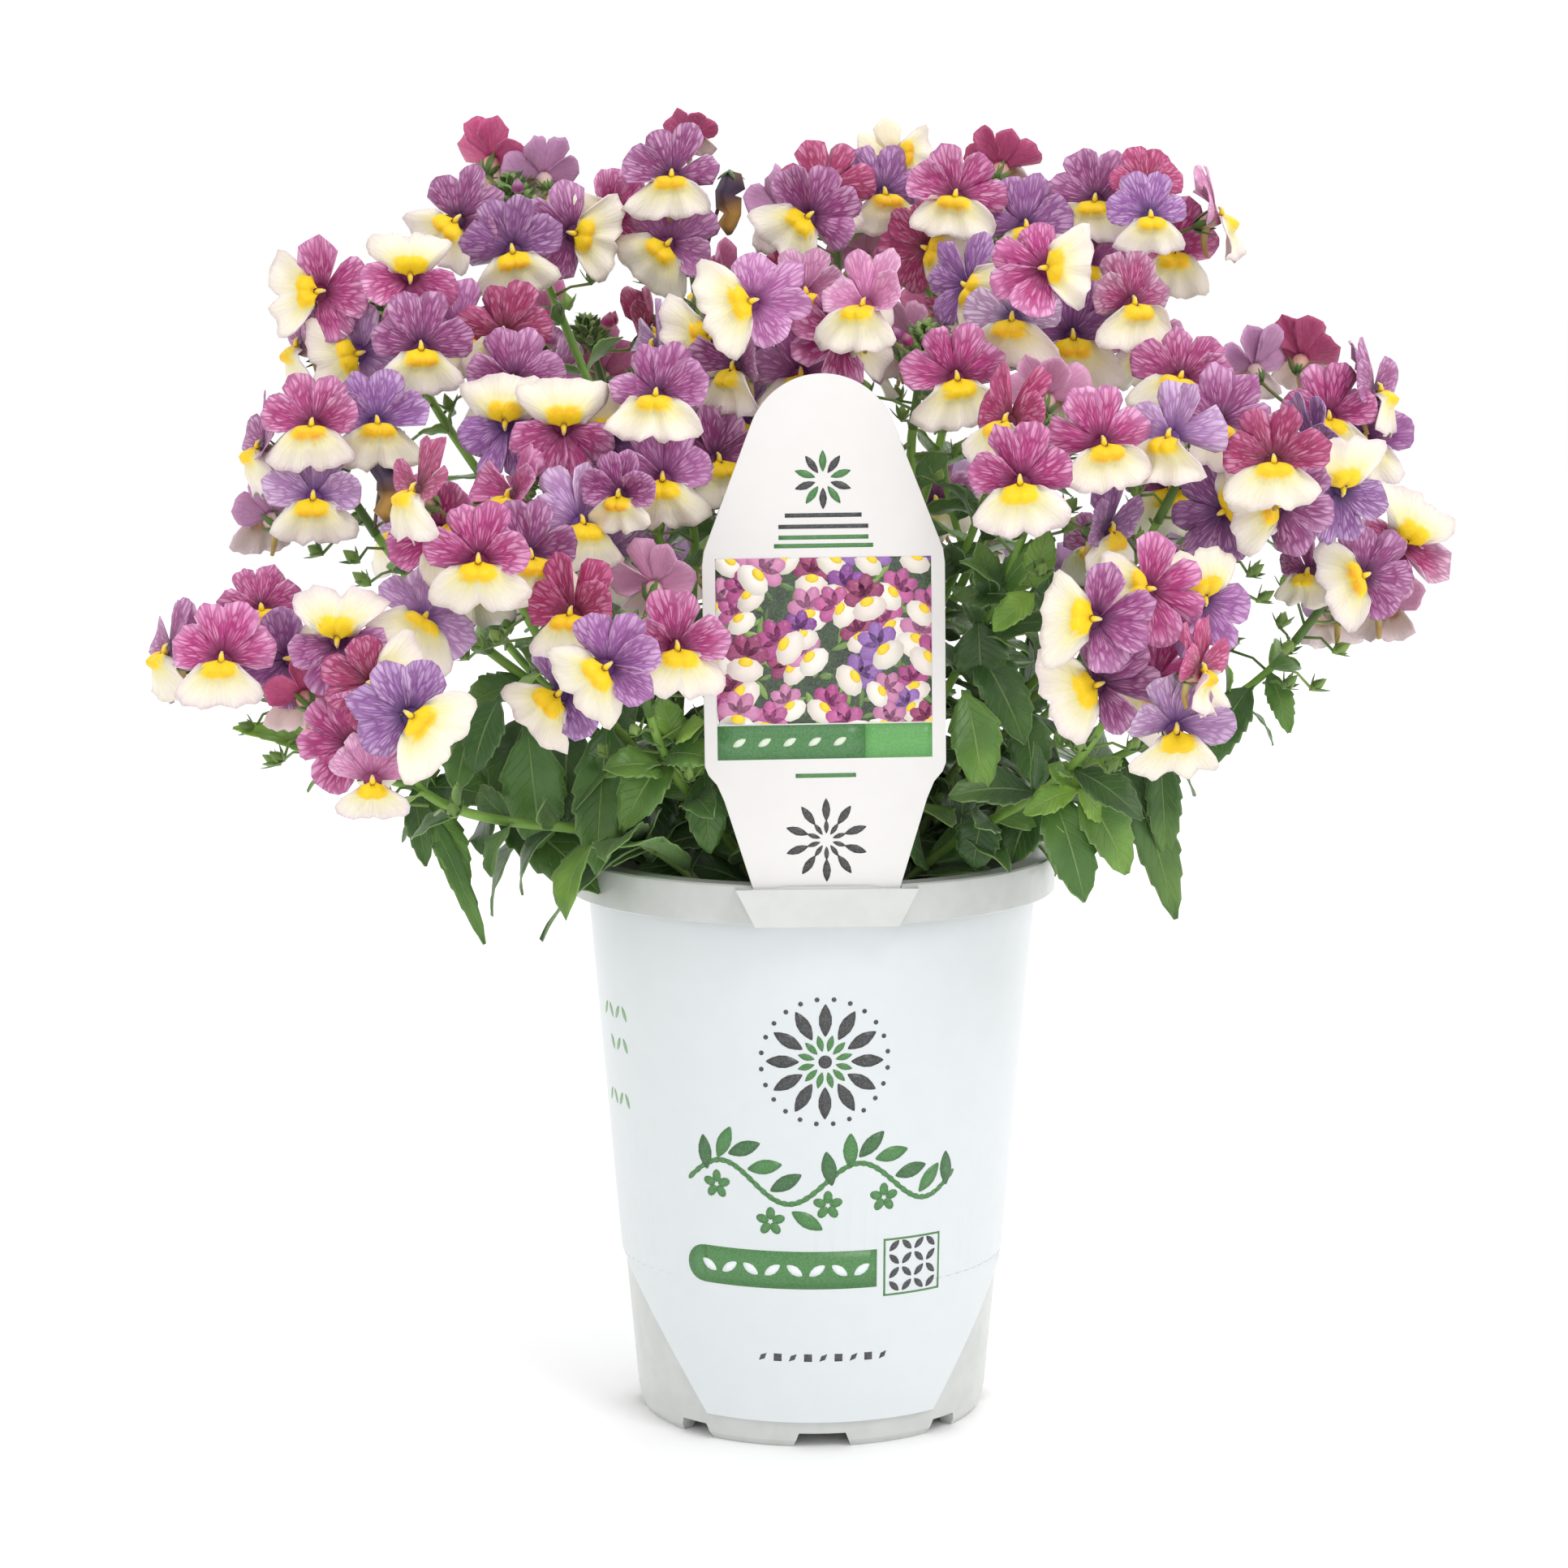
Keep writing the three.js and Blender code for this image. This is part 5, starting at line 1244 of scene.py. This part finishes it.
# %% Sizes of the pot, in millimetres
POT_HEIGHT, RIM_RADIUS, RIM_LOW, RIM_SKIN, LEDGE = 130, 56, 121.3, 1.3, 50.2
WALL, INNER_BASE, INNER_STEP, NECK = 1.2, 39.1, 42.0, 51.3
STEP_HEIGHT, STEP_RADIUS, STEP = 37.6, 44.1, 0.9
BASE_RADIUS, FLOOR_LOW, FLOOR_TOP = 40.3, 4.2, 6.0
LABEL_LOW, LABEL_HIGH, PANEL_LOW, PANEL_PROUD, PANEL_THICK = 37.65, 120.6, 6.3, 0.95, 1.7
PLASTIC, LABEL, THIN = 0, 1, 2


def wall_radius(z):
    share = (z - STEP_HEIGHT) / (RIM_LOW - STEP_HEIGHT)
    return STEP_RADIUS + share * (NECK - STEP_RADIUS)


def panel_radius(z):
    share = (z - PANEL_LOW) / (STEP_HEIGHT - PANEL_LOW)
    return BASE_RADIUS + PANEL_PROUD + share * (STEP_RADIUS - BASE_RADIUS - PANEL_PROUD)


def label_radius(z):
    z = np.asarray(z, float)
    return np.where(z > STEP_HEIGHT, wall_radius(z), panel_radius(z))


# %% Turn the pot's body
profile = [
    (0, FLOOR_LOW), (34.8, FLOOR_LOW), (35.6, 0.4), (35.9, 0), (38.5, 0), (38.8, 0.3),
    (39.7, 1.6), (BASE_RADIUS, 5), (STEP_RADIUS - STEP, STEP_HEIGHT - 0.6),
    (STEP_RADIUS - 0.15, STEP_HEIGHT - 0.3), (STEP_RADIUS, STEP_HEIGHT + 0.1),
    (wall_radius(80), 80), (wall_radius(LABEL_HIGH), LABEL_HIGH), (NECK, RIM_LOW),
    (NECK + 0.2, POT_HEIGHT - RIM_SKIN), (RIM_RADIUS - RIM_SKIN, POT_HEIGHT - RIM_SKIN),
    (RIM_RADIUS - RIM_SKIN - 0.2, RIM_LOW), (RIM_RADIUS - 0.6, RIM_LOW - 0.05),
    (RIM_RADIUS - 0.25, RIM_LOW + 0.25), (RIM_RADIUS, POT_HEIGHT - 1.0),
    (RIM_RADIUS - 0.15, POT_HEIGHT - 0.35), (RIM_RADIUS - 0.6, POT_HEIGHT),
    (LEDGE + 0.6, POT_HEIGHT), (LEDGE, POT_HEIGHT - 0.5), (NECK - WALL, RIM_LOW),
    (INNER_STEP, STEP_HEIGHT), (INNER_BASE, FLOOR_TOP), (0, FLOOR_TOP),
]


def pot_finish(z, r):
    is_wall = LABEL_LOW < z < LABEL_HIGH and r > wall_radius(z) - 0.3
    return LABEL if is_wall else PLASTIC


def plastic_finish(name, code, roughness, cloud_share, relief_strength=0.03):
    """Moulded plastic: faint clouds from the flow of the melt and a fine orange-peel skin."""
    material, tree, surface = new_material(name)
    cloud, fine = grain_of(tree, 1400.0)
    base = colour(code)[:3]
    dull, pale = base * (1 - cloud_share), np.minimum(base * (1 + cloud_share), 1)
    coat(surface, mixed(cloud.ranged(0.35, 0.65), [*dull, 1], [*pale, 1]), fine,
         relief_strength, 0.0002)
    plug(surface["Roughness"], fine.ranged(0.3, 0.7, roughness - 0.02, roughness + 0.02))
    return material


pot_finishes = [plastic_finish("milky plastic", "c6c8c6", 0.24, 0.03),
                plastic_finish("moulded label", "d8dddf", 0.3, 0.006, 0.0),
                plastic_finish("plastic over the tag", "cfd1cf", 0.24, 0.02)]
body = Basket()
add_turned(body, profile, POT_SIDES, pot_finish)
pot = put_in("nursery_pot", body.mesh("nursery_pot", pot_finishes))
print("turned body:", len(pot.data.polygons), "faces")

# %% Join on the smooth panels below the step, front and back, and the tag's pocket
panels, pocket = Basket(), Basket()
share, z = np.meshgrid(np.linspace(-1, 1, 41), np.linspace(PANEL_LOW, 38.1, 14))
radius = panel_radius(z)
half = np.minimum(25 + 20 * (z - 5.3) / 34.3, radius * 0.999)
angle = np.arcsin(half / radius) * share
wide = radius + 0.02 * (1 - share ** 2)
points = np.stack([np.sin(angle) * wide, -np.cos(angle) * wide, z], axis=2)
for half_turn in (0, 180):
    add_sheet(panels, turn_points(points, half_turn), PLAIN, PANEL_THICK, finish=LABEL)
add_prism(pocket, [(-15.6, RIM_LOW), (15.6, RIM_LOW), (19.8, 129.5), (-19.8, 129.5)],
          -56.3, -50.8, finish=THIN)
carve(pot, panels, "UNION")
carve(pot, pocket, "UNION")

# %% Cut the tag's slot, the notches between the feet, the drain holes and the side slots
FEET, NOTCH_HALF, FRONT_NOTCH_HALF, DRAIN_RADIUS = 8, 3.5, 5.25, 3.4
cuts = Basket()
add_prism(cuts, [(-15.5, 122.2), (15.5, 122.2), (16.7, 135), (-16.7, 135)], -54.65, -52.95)
for i in range(FEET):
    half = NOTCH_HALF if i else FRONT_NOTCH_HALF
    add_prism(cuts, [(-half - 1.6, -1), (half + 1.6, -1), (half, 3.4), (-half, 3.4)], -50, -30,
              360 / FEET * i)
for degrees in (45, 135, 225, 315):
    hole = 22 * circle(degrees)
    add_rod(cuts, [(*hole, z) for z in (-0.8, 3.0, 9.2)], [DRAIN_RADIUS] * 3, 24, PLAIN)
for degrees in (90, 180, 270):
    add_prism(cuts, [(-2.5, 36), (2.5, 36), (2.5, 42), (-2.5, 42)], -49.1, -39.1, degrees)
carve(pot, cuts, "DIFFERENCE")
pot.data.transform(Matrix.Rotation(math.radians(FRONT_TURN), 4, "Z"))
crisp(pot, 24)
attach(pot, "root")
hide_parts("pot")
print("pot:", len(pot.data.polygons), "faces")

# %% [markdown]
# ## The print on the label
# The label carries plain ornament of the garden kind. Printed ink lies in the label, so each
# shape is a very thin patch bent round the pot, a twentieth of a millimetre proud.

# %% Bend flat shapes round the pot
INK, PRINT_GREEN, DEEP_GREEN = colour("2c2b2c"), colour("3b7a33"), colour("2a6227")
PALE_LEAF, FADED_GREEN = colour("e6ecee"), colour("86b07c")


def on_pot(u, z, lift):
    radius, angle = label_radius(z) + lift, u / label_radius(z)
    return turn_points(np.stack([np.sin(angle) * radius, -np.cos(angle) * radius, z], axis=-1),
                       FRONT_TURN)


def add_spot(basket, middle, length, width, degrees, tint, count=12, point=0.0, lift=0.05,
             onto=on_pot):
    """A printed oval, a fan of triangles; point draws its ends out to points, like a leaf's."""
    k, (c, s) = np.arange(count), circle(degrees)
    n, t = np.roll(k, -1), 2 * np.pi * k / count
    x, y = np.cos(t) * length / 2, np.sin(t) * width / 2 * (1 - point * np.cos(t) ** 2)
    u = middle[0] + np.append(0, x * c - y * s)
    z = middle[1] + np.append(0, x * s + y * c)
    fan, back = np.stack([0 * k, k + 1, n + 1], 1), count + 1
    wall = np.stack([k + 1, k + 1 + back, n + 1 + back, n + 1], 1)
    basket.add(np.concatenate([onto(u, z, lift), onto(u, z, -0.05)]),
               [fan, fan[:, ::-1] + back, wall], tint)


def add_bar(basket, left, right, low, high, tint, pieces=24, rows=3, lift=0.05, sunk=0.1,
            onto=on_pot):
    u, z = np.meshgrid(np.linspace(left, right, pieces + 1), np.linspace(low, high, rows))
    add_sheet(basket, onto(u, z, lift), tint, sunk + lift)


# %% A rosette, a flowering vine, a band and a row of seeds
CREST, VINE, VINE_WAVE = 90, 62, 0.2
ink = Basket()
for k in range(12):
    for far, length, turn, tint in ((9.4, 7.4, 30 * k, INK), (4.3, 3.8, 30 * k + 15, PRINT_GREEN)):
        add_spot(ink, (0, CREST) + far * circle(turn), length, length * 0.4, turn, tint, 14, 0.6)
add_spot(ink, (0, CREST), 3.0, 3.0, 0, INK, 14)
for k in range(24):
    add_spot(ink, (0, CREST) + 14.2 * circle(15 * k + 7.5), 1.1, 1.1, 0, INK, 8)
for k in range(40):
    u = -31 + 62 * k / 39
    z = VINE + 4.6 * math.sin(u * VINE_WAVE)
    slope = math.degrees(math.atan(math.cos(u * VINE_WAVE)))
    add_spot(ink, (u, z), 3.0, 1.3, slope, PRINT_GREEN, 8, lift=0.04)
    if k % 3 == 1:
        side = 1 if k % 2 or k % 8 in (2, 4, 6) else -1
        add_spot(ink, (u + 1.8, z + side * 4.3), 8.0, 3.4, slope + side * 55,
                 DEEP_GREEN if k % 6 == 1 else PRINT_GREEN, 16, 0.5)
    if k % 8 == 4 and k < 32:
        for turn in range(90, 450, 72):
            add_spot(ink, (u, z - 5.6) + 1.9 * circle(turn), 3.0, 2.1, turn, PRINT_GREEN, 10)
add_bar(ink, -28, 12, 37.7, 46.4, PRINT_GREEN)
add_spot(ink, (-28, 42.05), 8.6, 8.6, 0, PRINT_GREEN, 24, lift=0.045)
for k in range(8):
    add_spot(ink, (-26.5 + 5.0 * k, 42.0), 4.2, 2.0, 35 if k % 2 else -35, PALE_LEAF, 12, 0.4,
             0.11)
for low in (35.3, 48.2):
    add_bar(ink, 13.6, 28.2, low, low + 0.45, PRINT_GREEN, 8)
for left in (13.6, 27.75):
    add_bar(ink, left, left + 0.45, 35.5, 48.4, PRINT_GREEN, 2)
for row in range(4):
    for column in range(4):
        add_spot(ink, (16.2 + 3.15 * column, 37.4 + 3.15 * row), 3.3, 1.5,
                 45 if (row + column) % 2 else -45, INK, 12, 0.5)
for k in range(9):
    add_spot(ink, (-13.6 + 3.4 * k, 21.6), 2.5, 2.5 if k % 2 else 1.2, 45, INK, 4)
for row, sprigs in ((96, 4), (88.5, 3), (75.5, 4)):
    for k in range(sprigs):
        add_spot(ink, (-53.5 - 3.4 * k, row), 3.8, 1.4, 60 if k % 2 else -60, FADED_GREEN, 10,
                 0.5)
print("print shapes:", len(ink.points))


def ink_finish():
    material, tree, surface = new_material("printing ink", Roughness=0.34)
    tint, _ = tint_of(tree)
    _, fine = grain_of(tree, 2400.0)
    coat(surface, mixed(fine.ranged(0.2, 0.9, 0.0, 0.12), tint, (0.8, 0.84, 0.86, 1)))
    return material


printing_ink = ink_finish()
show("label_print", ink, [printing_ink])

# %% [markdown]
# ## The plant tag
# A stiff plastic card with an arched top, pushed into the pocket of the rim. Its front has a
# printed picture of flowers over a green band. The picture here is a meadow of simple blooms,
# drawn as thin overlapping shapes, so it has no flower or lettering of anyone's own.

# %% The card: face, bevel, wall, bevel and back
TAG_Y, TAG_LEAN, TAG_THICK = -53.8, 0.6, 1.0
TAG_BEVEL = [(0.25, 0.0), (0.06, 0.08), (0.0, 0.25), (0.0, 0.75), (0.06, 0.92), (0.25, 1.0)]


def on_tag(x, z, lift):
    """Where a point of the tag's face is; lift is how far it stands in front of the face."""
    (c, s), up = circle(TAG_LEAN), z - POT_HEIGHT
    flat = [x * c - up * s, TAG_Y - TAG_THICK / 2 - lift + 0 * x, POT_HEIGHT + x * s + up * c]
    return turn_points(np.stack(flat, axis=-1), FRONT_TURN)


def tag_outline():
    arch = [(16.2 * math.cos(a), 223.9 + 16.2 * math.sin(a))
            for a in np.linspace(0.36, math.pi - 0.36, 33)]
    right = [(14.6, 122.7), (15.8, 129), (21.9, 148.8), (23.4, 152.3), (25.2, 154.4),
             (26, 156.4), (26, 199.6), (25.6, 202.6)]
    return np.array(right + arch + [(-x, z) for x, z in reversed(right)])


outline = tag_outline()
edge = np.roll(outline, -1, axis=0) - np.roll(outline, 1, axis=0)
inward = np.stack([-edge[:, 1], edge[:, 0]], 1) / np.linalg.norm(edge, axis=1, keepdims=True)
rings = [on_tag(*(outline + inward * pull).T, -deep * TAG_THICK) for pull, deep in TAG_BEVEL]
card = Basket()
add_rings(card, np.array(rings), PLAIN, flip=True)
satin_card = plastic_finish("satin card", "e6e4e2", 0.32, 0.006, 0.01)
tag = show("plant_tag", card, [satin_card], ["tag"])
crisp(tag, 40)
print("tag:", len(tag.data.polygons), "faces")

# %% The printed meadow
PICTURE = x0, x1, z0, z1 = -23.2, 23.0, 165.4, 201.0
MEADOW = [("b7418a", "f1e6dc"), ("8d3f9a", "ece2d8"), ("c85c9c", "f6eee2"), ("a03068", "f0e4da"),
          ("9a6ab8", "eee6da"), ("d889b5", "f6f0e6")]
BLADES, FLOWERS, APART = 120, 40, 4.6


def on_picture(x, z, lift):
    return on_tag(np.clip(x, x0, x1), np.clip(z, z0, z1), lift)


picture = Basket()
rng = np.random.default_rng(41)
ground = blend(colour("18280f"), colour("2f4a20"), rng.uniform(0, 1, (18, 24)))
add_bar(picture, *PICTURE, ground, 23, 18, 0.04, 0.04, on_tag)
for i in range(BLADES):
    middle = (rng.uniform(x0, x1), rng.uniform(z0, z1))
    blade = blend(colour("35592a"), colour("86a84c"), rng.uniform(0, 1))
    add_spot(picture, middle, rng.uniform(3, 6), rng.uniform(1.0, 1.8), rng.uniform(0, 180),
             blade, 12, 0.5, 0.05 + i * 0.0002, on_picture)
spots = []
while len(spots) < FLOWERS:
    spot = np.array([rng.uniform(x0 - 1, x1 + 1), rng.uniform(z0 - 1, z1 + 1)])
    near = min((np.linalg.norm(spot - other) for other in spots), default=9)
    if near > APART or rng.uniform() < 0.004:
        spots.append(spot)
for i, spot in enumerate(spots):
    main, pale = (colour(code) for code in MEADOW[int(rng.integers(len(MEADOW)))])
    lean, size, lift = rng.uniform(-60, 60), rng.uniform(1.35, 1.8), 0.09 + 0.002 * i
    for angle, far, length, width, tint, higher in (
            (64, 1.5, 2.9, 1.9, main, 0), (116, 1.5, 2.9, 1.9, main, 0),
            (8, 1.4, 2.7, 2.1, main, 0), (172, 1.4, 2.7, 2.1, main, 0),
            (270, 1.7, 3.0, 4.6, pale, 0.0006), (270, 0.75, 1.2, 1.9, YELLOW, 0.0012)):
        shaded = blend(tint, colour("5a2a55"), rng.uniform(0, 0.25) if tint is main else 0)
        add_spot(picture, spot + size * far * circle(angle + lean), length * size, width * size,
                 angle + lean, shaded, 10, lift=lift + higher, onto=on_picture)

# %% The band under the meadow, the rules and the rosettes
for left, right, code in ((-23.2, 8.6, "3a7836"), (8.6, 23.0, "58a24c")):
    add_bar(picture, left, right, 157.7, 165.1, colour(code), 8, sunk=0.04, onto=on_tag)
for k in range(5):
    add_spot(picture, (-18.5 + 5.4 * k, 161.4), 3.2, 1.5, 30, colour("dfe9d2"), 12, 0.5, 0.08,
             on_tag)
for low, wide, tint in ((209.6, 8.2, INK), (207.2, 9.6, INK), (204.9, 9.6, PRINT_GREEN),
                        (203.1, 10.6, PRINT_GREEN), (153.6, 6.5, PRINT_GREEN)):
    add_bar(picture, -wide, wide, low, low + 0.9, tint, 8, sunk=0.04, onto=on_tag)
for hub, far, length in ((217.6, 4.0, 4.6), (140.0, 6.6, 5.0), (140.0, 2.9, 3.0)):
    for k in range(10):
        turn = 36 * k + 90
        add_spot(picture, (0, hub) + far * circle(turn), length, length * 0.36, turn,
                 INK if k % 2 or hub < 200 else PRINT_GREEN, 12, 0.6, onto=on_tag)
show("tag_print", picture, [printing_ink])
print("meadow flowers:", len(spots))

# %% [markdown]
# ## The soil
# Dark peaty compost with white grains of perlite, bits of bark, and a few dry curled leaves. The
# top is a polar grid, heaped and roughened by sine waves, and the crumbs are small pods.

# %% Heap the compost and scatter crumbs on it
SOIL_SPOKES, SOIL_RINGS, SOIL_EDGE, SOIL_LOW = 120, 33, 48.6, FLOOR_TOP + 0.35
CRUMBS = [colour("2a1c13"), colour("3a2719"), colour("1a120d"), colour("4c3622")]
CRUMB_COUNT, PERLITE, PERLITE_EVERY = 520, colour("d9d6cc"), 16


def soil_height(x, y):
    mound = 3.0 * np.maximum(0, 1 - (np.hypot(x, y) / 48) ** 2)
    mound = mound + 0.8 * np.sin(x * 0.23 + 1) * np.cos(y * 0.19)
    rough = 0.45 * np.sin(x * 1.3 + 2 * np.sin(y * 0.9)) * np.sin(y * 1.1 + x * 0.4)
    return SOIL_TOP - 1.0 + mound + rough + 0.25 * np.sin(x * 3.1) * np.sin(y * 2.7)


turns = 2 * np.pi * np.arange(SOIL_SPOKES) / SOIL_SPOKES
reaches = [*SOIL_EDGE * np.arange(1, SOIL_RINGS + 1) / SOIL_RINGS, 41.3, 38.4]
x, y = np.outer(reaches, np.cos(turns)), np.outer(reaches, np.sin(turns))
z = soil_height(x, y)
z[-2], z[-1] = STEP_HEIGHT, SOIL_LOW
heap = Basket()
add_rings(heap, np.stack([x, y, z], axis=2), colour("231812"),
          middles=[(0, 0, soil_height(0, 0)), (0, 0, SOIL_LOW)], flip=True)
rng = np.random.default_rng(77)
for i in range(CRUMB_COUNT):
    r, a = 48.3 * math.sqrt(rng.uniform()), rng.uniform(0, 2 * math.pi)
    x, y = r * math.cos(a), r * math.sin(a)
    size = rng.uniform(0.5, 1.7)
    is_perlite = i % PERLITE_EVERY == 0
    tint = PERLITE if is_perlite else CRUMBS[int(rng.integers(4))]
    lean = rng.normal(size=3) * [1, 1, 0.3]
    length = size * (1.2 if is_perlite else rng.uniform(1.2, 3.4))
    add_pod(heap, (x, y, soil_height(x, y) + 0.2 * size), lean, length, size * 0.55, tint, 5, 4)


def soil_finish():
    material, tree, surface = new_material("compost", Roughness=0.95, Specular_IOR_Level=0.2)
    tint, _ = tint_of(tree)
    _, fine = grain_of(tree, 1200.0)
    damp = mixed(1.0, tint, (0.45, 0.42, 0.4, 1), "MULTIPLY")
    coat(surface, mixed(fine.ranged(0.4, 0.6), damp, tint), fine, 0.9, 0.0008)
    return material


compost = soil_finish()
show("compost", heap, [compost], ["soil"])
dry = Basket()
for x, y, to_x, to_y in ((34, -31, 41, -17), (38, -24, 30, -18), (27, -36, 35, -27)):
    root = np.array([x, y, soil_height(x, y) + 2.0])
    tip = np.array([to_x, to_y, soil_height(to_x, to_y) + 5.0])
    skin = blend(colour("5f6a3a"), colour("6e5a36"), rng.uniform(0, 1))
    add_leaf(dry, root, tip, 8, UP + [0.3, -0.2, 0], skin, rng, arch=0.25, curl=0.3)
show("dry_leaves", dry, [green, leaf_skin])
print("compost faces:", sum(len(f) for f in heap.faces))

# %% [markdown]
# ## Floor, light and camera
# The plant stands on a plain white floor under large soft lamps, so its shadow is faint and the
# background almost white. The camera looks from the front, slightly down, as the view that the
# plant was laid out in.

# %% A white floor
FLOOR_REACH = 12.0
plane = bpy.data.meshes.new("floor")
plane.from_pydata([(x * FLOOR_REACH, y * FLOOR_REACH, 0)
                   for x, y in ((-1, -1), (1, -1), (1, 1), (-1, 1))], [], [(0, 1, 2, 3)])
studio, _, _ = new_material("studio floor", Base_Color=(0.97, 0.97, 0.97, 1), Roughness=0.9,
                            Specular_IOR_Level=0.1)
plane.materials.append(studio)
floor = put_in("floor", plane)


# %% Soft lamps and a white surround
def add_lamp(name, place, target, size, power):
    lamp = bpy.data.lights.new(name, "AREA")
    lamp.shape, lamp.size, lamp.energy = "DISK", size, power
    held = put_in(name, lamp)
    held.location = place
    held.rotation_euler = (Vector(target) - Vector(place)).to_track_quat("-Z", "Y").to_euler()


add_lamp("key", (0.9, -1.2, 1.8), (0, 0, 0.15), 0.8, 12)
add_lamp("fill", (-1.5, -1.2, 1.1), (0, 0, 0.15), 1.4, 1)
add_lamp("back light", (0.3, 1.5, 1.4), (0, 0, 0.2), 1.4, 8)
world = bpy.data.worlds.new("white surround")
world.use_nodes = True
world.node_tree.nodes["Background"].inputs["Color"].default_value = (1, 1, 1, 1)
world.node_tree.nodes["Background"].inputs["Strength"].default_value = 1.03
bpy.context.scene.world = world

# %% The camera
SENSOR = 36
lens = bpy.data.cameras.new("front view")
lens.sensor_width = SENSOR
lens.lens = EYE["focus"] / VIEW_PIXELS * SENSOR
lens.shift_x = -EYE["shift"] / VIEW_PIXELS
camera = put_in("front view", lens)
camera.location = (0, -EYE["distance"] * MM, EYE["height"] * MM)
camera.rotation_euler = (math.radians(90 - EYE["pitch"]), 0, 0)
bpy.context.scene.camera = camera
bpy.context.scene.view_settings.view_transform = "Standard"

# %% Count the triangles of the new pieces and finish
triangles = 0
for piece in bpy.context.scene.objects:
    if piece.type == "MESH" and piece.name not in frame["nodes"]:
        triangles += sum(len(face.vertices) - 2 for face in piece.data.polygons)
print("triangles:", triangles)
